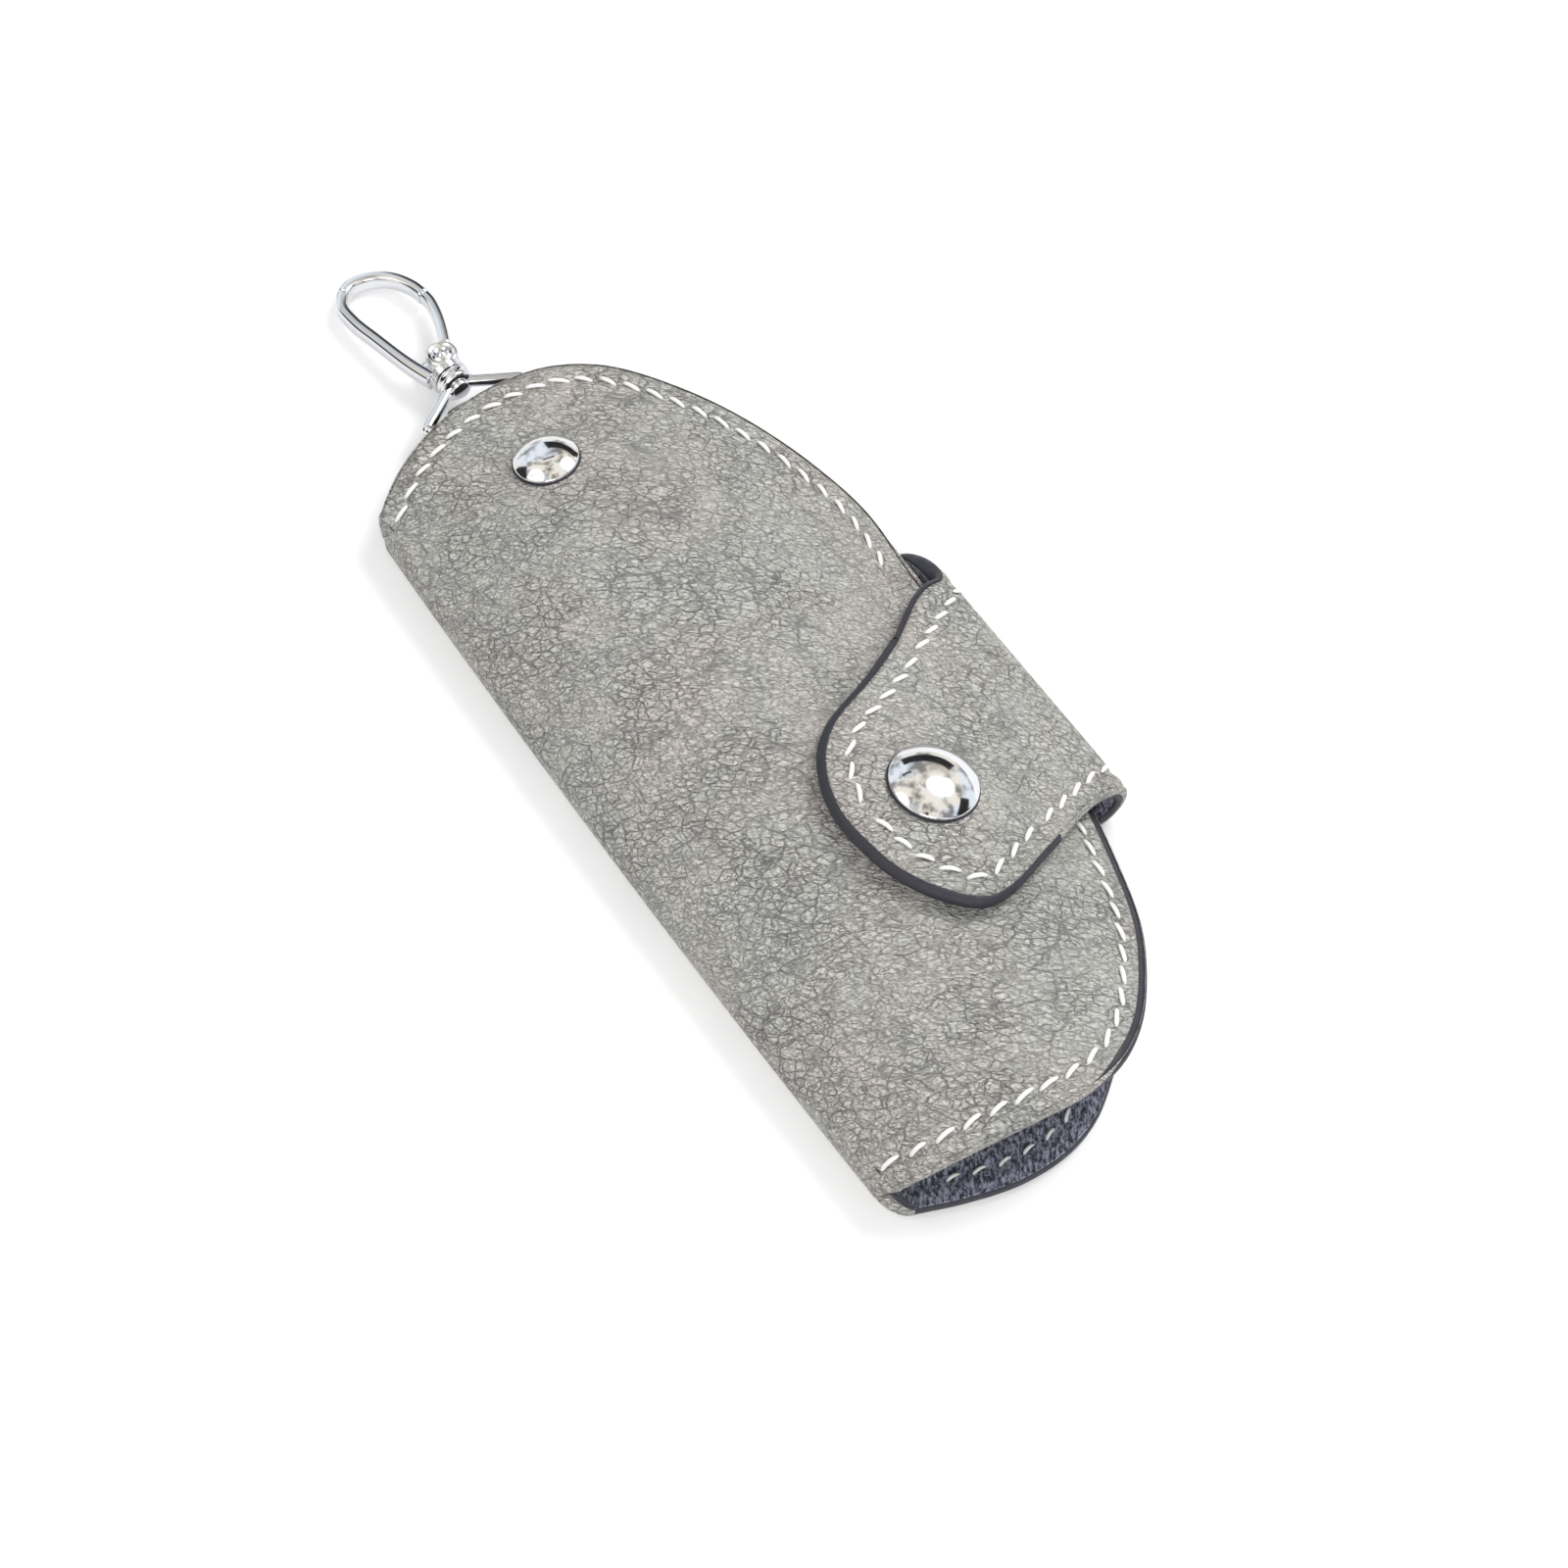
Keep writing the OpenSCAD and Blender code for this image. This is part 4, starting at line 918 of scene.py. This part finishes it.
# The clasp: post, ridged collar, hook, gate and pin, in the clasp's own plane
clasp = dict(
    length=26.8, width=13.2, thick=2.6, arm=1.9, pivot=0.14, eyeR=2.5, eyeT=1.2,
    pinR=0.9, headR=2.4, seam=0.535, collarR=2.8, collarLen=1.1, tip=0.481, postR=1.2, tipGap=0.35,
    hook=[(-0.36, 0.09), (-0.55, 0.27), (-0.72, 0.52), (-0.83, 0.70), (-0.79, 0.85),
          (-0.42, 0.945), (0.10, 0.935), (0.52, 0.855), (0.76, 0.735), (0.84, 0.61)],
    gate=[(0.42, 0.265), (0.66, 0.40), (0.80, 0.52), (0.84, 0.61), (0.76, 0.735)],
)
hubAt = barAt + barTurn @ np.array([0, length, 0])
postLen = hubLen / 2 + 0.1
postR = clasp["postR"]
postProfile = [
    (onAxis, -postLen - 0.8), (1.2, -postLen - 0.8), (1.55, -postLen - 0.6), (1.6, -postLen - 0.2), (1.5, -postLen),
    (postR, -postLen), (postR, postLen), (onAxis, postLen)]
post = placedAt([turned(postProfile, 40)], basis=alongY)
metalPiece("swivelPost", post, hubAt, barTurn, "clasp", "swivel_post")

# The collar's three ridges are a cosine along it
ridge = np.linspace(postLen, postLen + clasp["collarLen"], 21)
collarR = clasp["collarR"]
ridged = [(collarR - 0.12 + 0.12 * math.cos((y - postLen) / clasp["collarLen"] * 6 * math.pi), y) for y in ridge]
collarTop = ridge[-1] + 0.1
collar = [(onAxis, postLen), (collarR - 0.4, postLen)] + ridged + [(collarR - 0.3, collarTop), (onAxis, collarTop)]


def claspPoints(shares, start=None):
    p = np.array(shares) * [clasp["width"] / 2, clasp["length"]]
    return p if start is None else np.vstack([start, p])


neckY = postLen + clasp["collarLen"]
pivot = np.array([clasp["pivot"] * clasp["width"] / 2, neckY + clasp["headR"] + 0.1])
tipR = clasp["tip"] * clasp["length"]


# Arm of rounded section along a line, from share k0 to share k1 of it
def arm(line, k0, k1, taper, power=3.0):
    prof = rounded(clasp["arm"] / 2, clasp["thick"] / 2, 24, power)[None] * taper[:, None, :]
    return sweepFlat(curve(line, np.linspace(k0, k1, len(taper))), prof)


# Share of the line at which it meets the circle round the pivot where the gate ends
def shareAtRadius(line, radius, rising):
    k = np.linspace(0, 1, 2000)
    p = curve(line, k)
    inside = np.linalg.norm(p - pivot, axis=1) < radius
    return k[inside].max() if rising else k[(~inside) & (p[:, 0] > pivot[0])].max()


hookLine = claspPoints(clasp["hook"])
gateLine = claspPoints(clasp["gate"], pivot)
hookEnd = shareAtRadius(hookLine, tipR + clasp["tipGap"], False)
gateEnd = shareAtRadius(gateLine, tipR, True)

# The hook is a little wider at its root and has a fine seam across it
hookK = np.linspace(0, 1, 360)
seam = 1 - 0.16 * np.exp(-((hookK - clasp["seam"]) / 0.0035) ** 2)
hookTaper = np.stack([(1 + 0.10 * smooth(1 - hookK / 0.2)) * seam, seam], -1)
hookArm = arm(hookLine, 0.0, hookEnd, hookTaper, 3.6)
neckPath = np.stack([np.zeros(9), np.linspace(neckY - 0.4, pivot[1] + 0.8, 9), np.zeros(9)], -1)
neckTaper = np.array([0.90, 0.98, 1, 1, 1, 1, 0.98, 0.93, 0.80])[:, None, None]
neckProfile = rounded(collarR, clasp["thick"] / 2, 32, 5.0)[None] * neckTaper
neck = sweep(neckPath, [1, 0, 0], [0, 0, -1], neckProfile)
pivotAt, eyeR, pinR = np.array([*pivot, 0]), clasp["eyeR"], clasp["pinR"]
cheeks = []
for s in (-1, 1):
    z0, z1 = (clasp["eyeT"] / 2 + 0.1) * s, clasp["thick"] / 2 * s
    cheek = [(pinR, z0), (eyeR - 0.05, z0), (eyeR, z0 * 0.6 + z1 * 0.4), (eyeR - 0.15, z1), (pinR, z1)]
    cheeks += placedAt([turned(cheek if s > 0 else cheek[::-1], 40)], pivotAt)
collarParts = placedAt([turned(collar, 48)], basis=alongY)
metalPiece("claspHook", [hookArm, neck] + cheeks + collarParts, hubAt, barTurn, "clasp", "clasp_body")
gateK = np.linspace(0, 1, 70)
gateTaper = np.stack([1.0 + 0 * gateK, 0.46 + 0.54 * smooth((gateK - 0.10) / 0.12)], -1)
gateArm = arm(gateLine, 0.02, gateEnd, gateTaper)
eyeHalf = clasp["eyeT"] / 2
eye = turned([(pinR + fitGap, -eyeHalf), (2.3, -eyeHalf), (2.45, -eyeHalf + 0.15), (2.45, eyeHalf - 0.15),
              (2.3, eyeHalf), (pinR + fitGap, eyeHalf)], 40)
gateParts = [gateArm] + placedAt([eye], pivotAt)
metalPiece("claspGate", gateParts, hubAt, barTurn, "gate", "clasp_gate")
headZ = clasp["thick"] / 2 + 0.025
headR = clasp["headR"]
headRings = [(onAxis, 0.55), (0.45, 0.52), (0.60, 0.22), (0.80, 0.22), (0.98, 0.52), (1.25, 0.52), (1.42, 0.18),
             (1.65, 0.18), (1.85, 0.44), (headR - 0.25, 0.42), (headR, 0.20), (headR, 0.0), (onAxis, 0.0)]
rosette = []
for s in (-1, 1):
    rings = [(a, s * (headZ + b)) for a, b in headRings]
    rosette += [turned(rings[::-1] if s > 0 else rings, 48)]
shank = turned([(pinR, -headZ), (pinR, headZ)], 24)
metalPiece("gatePin", placedAt(rosette + [shank], pivotAt), hubAt, barTurn, "clasp", "gate_pin")

# The gate's spring: a helix of five turns
springR, springLen, springWire = 0.38, 1.7, 0.1
springAt = np.array([pivot[0] - eyeR - 0.6, pivot[1] - 1.0, 0])
t = np.linspace(0, 10 * np.pi, 160)
helix = np.stack([springR * np.cos(t), -springLen / 2 + springLen * t / t[-1], springR * np.sin(t)], -1) + springAt
helixT = unit(np.gradient(helix, axis=0))
helixOut = unit((helix - springAt) * [1, 0, 1])
spring = sweep(helix, helixOut, np.cross(helixT, helixOut), rounded(springWire, springWire, 8, 2.0))
metalPiece("gateSpring", [spring], hubAt, barTurn, "clasp", "gate_spring")
print("clasp ready")

# Floor, light and camera
light = dict(world=0.47, floorGlow=0.21, farGlow=0.85)
# Lamps: direction along the picture's right, along the ground away from the camera and up; distance, width, power
lamps = dict(
    keyLight=((0.75, 0.65, 1.25), 0.8, 0.42, 3.45),
    fillLight=((-0.9, -0.2, 1.3), 0.9, 0.6, 0.9),
    lowLight=((0.1, -1.1, 0.9), 0.9, 0.5, 2.7),
)
# Dark cards that only the metal shows, as in a photographer's tent: first degree, degrees wide, reach, bottom, top
cards = [(20, 52, 0.42, 0.10, 0.24), (118, 40, 0.42, 0.08, 0.30), (205, 60, 0.42, 0.10, 0.22),
         (292, 46, 0.42, 0.12, 0.26), (228, 34, 0.26, 0.42, 0.56), (62, 22, 0.30, 0.30, 0.34)]
camera = dict(azimuth=-34.406, elevation=60.0, distance=0.450, focal=3386.88, pixels=1600, sensor=36,
              target=(-0.003998, -0.001919, 0.0))


# Two factors: 1 for rays from the camera or through glass, and 1 for those mirrored in metal
def rayKinds(g):
    n = g.node("LightPath", {})
    return g.math("MAXIMUM", n.outputs["Is Camera Ray"], n.outputs["Is Transmission Ray"]), n.outputs["Is Glossy Ray"]


floorMat, g, shader = newMaterial("floorPaper")
g.put(shader.inputs["Base Color"], g.mix(g.noise(40, 2), (0.92, 0.92, 0.92, 1), (0.95, 0.95, 0.95, 1)))
shader.inputs["Roughness"].default_value = 0.9
shader.inputs["Emission Color"].default_value = (1, 1, 1, 1)
glow = g.span(g.vector("LENGTH", g.coords), 0.25, 1.0, light["floorGlow"], light["farGlow"])
g.put(shader.inputs["Emission Strength"], g.math("MULTIPLY", g.math("MAXIMUM", *rayKinds(g)), glow))
floorZ = min(-0.0004, frameLow[2] - 0.0004)
floorHalf = 1.6
corners = [(x * floorHalf, y * floorHalf, floorZ) for x, y in ((-1, -1), (1, -1), (1, 1), (-1, 1))]
floor = makeMesh("floor", corners, [(0, 1, 2, 3)], floorMat, flat=True)

world = bpy.data.worlds.new("softStudio")
bpy.context.scene.world = world
world.use_nodes = True
g = Graph(world.node_tree)
sky = world.node_tree.nodes["Background"]
direct, mirrored = rayKinds(g)
tint = g.mix(g.span(g.noise(1.6, 2), 0.42, 0.58), (1.0, 0.93, 0.82, 1), (0.90, 0.95, 1.0, 1))
g.put(sky.inputs[0], g.mix(mirrored, (1, 1, 1, 1), tint))
even = g.span(direct, 0.0, 1.0, light["world"], 1.0)
varied = g.span(g.noise(2.6, 3, 0.6), 0.36, 0.56, 0.35, 1.25)
g.put(sky.inputs[1], g.math("ADD", g.math("MULTIPLY", mirrored, g.math("SUBTRACT", varied, even)), even))

cardMat = plainMaterial("darkCard", colour("#17181b"), 0.9, grainScale=20)
for i, (start, wide, reach, bottom, above) in enumerate(cards):
    a = np.radians(np.linspace(start, start + wide, 12))
    rows = np.array([bottom, above])
    points = np.stack([reach * np.cos(a)[:, None] + 0 * rows, reach * np.sin(a)[:, None] + 0 * rows,
                       rows + 0 * a[:, None]], -1)
    card = makeMesh(f"card{i}", points, gridFaces(len(a), 2), cardMat)
    card.visible_camera = card.visible_diffuse = card.visible_shadow = card.visible_transmission = False

az, el = math.radians(camera["azimuth"]), math.radians(camera["elevation"])
imageRight = np.array([math.cos(az), math.sin(az), 0])
ground = np.array([-math.sin(az), math.cos(az), 0])


def areaLight(name, direction, distance, wide, power):
    data = bpy.data.lights.new(name, "AREA")
    data.shape = "DISK"
    data.size = wide
    data.energy = power
    obj = bpy.data.objects.new(name, data)
    bpy.context.scene.collection.objects.link(obj)
    d = unit(np.asarray(direction, float))
    obj.location = d * distance
    obj.rotation_mode = "QUATERNION"
    obj.rotation_quaternion = Vector(-d).to_track_quat("-Z", "Y")


for name, ((right, away, above), distance, wide, power) in lamps.items():
    areaLight(name, imageRight * right + ground * away + np.array([0, 0, above]), distance, wide, power)

camData = bpy.data.cameras.new("camera")
cam = bpy.data.objects.new("camera", camData)
bpy.context.scene.collection.objects.link(cam)
back = np.array([math.sin(az) * math.cos(el), -math.cos(az) * math.cos(el), math.sin(el)])
cam.location = np.array(camera["target"]) + back * camera["distance"]
cam.rotation_mode = "XYZ"
cam.rotation_euler = (math.pi / 2 - el, 0, az)
camData.sensor_width = camera["sensor"]
camData.lens = camera["focal"] / camera["pixels"] * camera["sensor"]
camData.clip_start, camData.clip_end = 0.01, 10
camData.dof.use_dof = False
bpy.context.scene.camera = cam
bpy.context.scene.view_settings.view_transform = "Standard"
print("floor, light and camera ready")
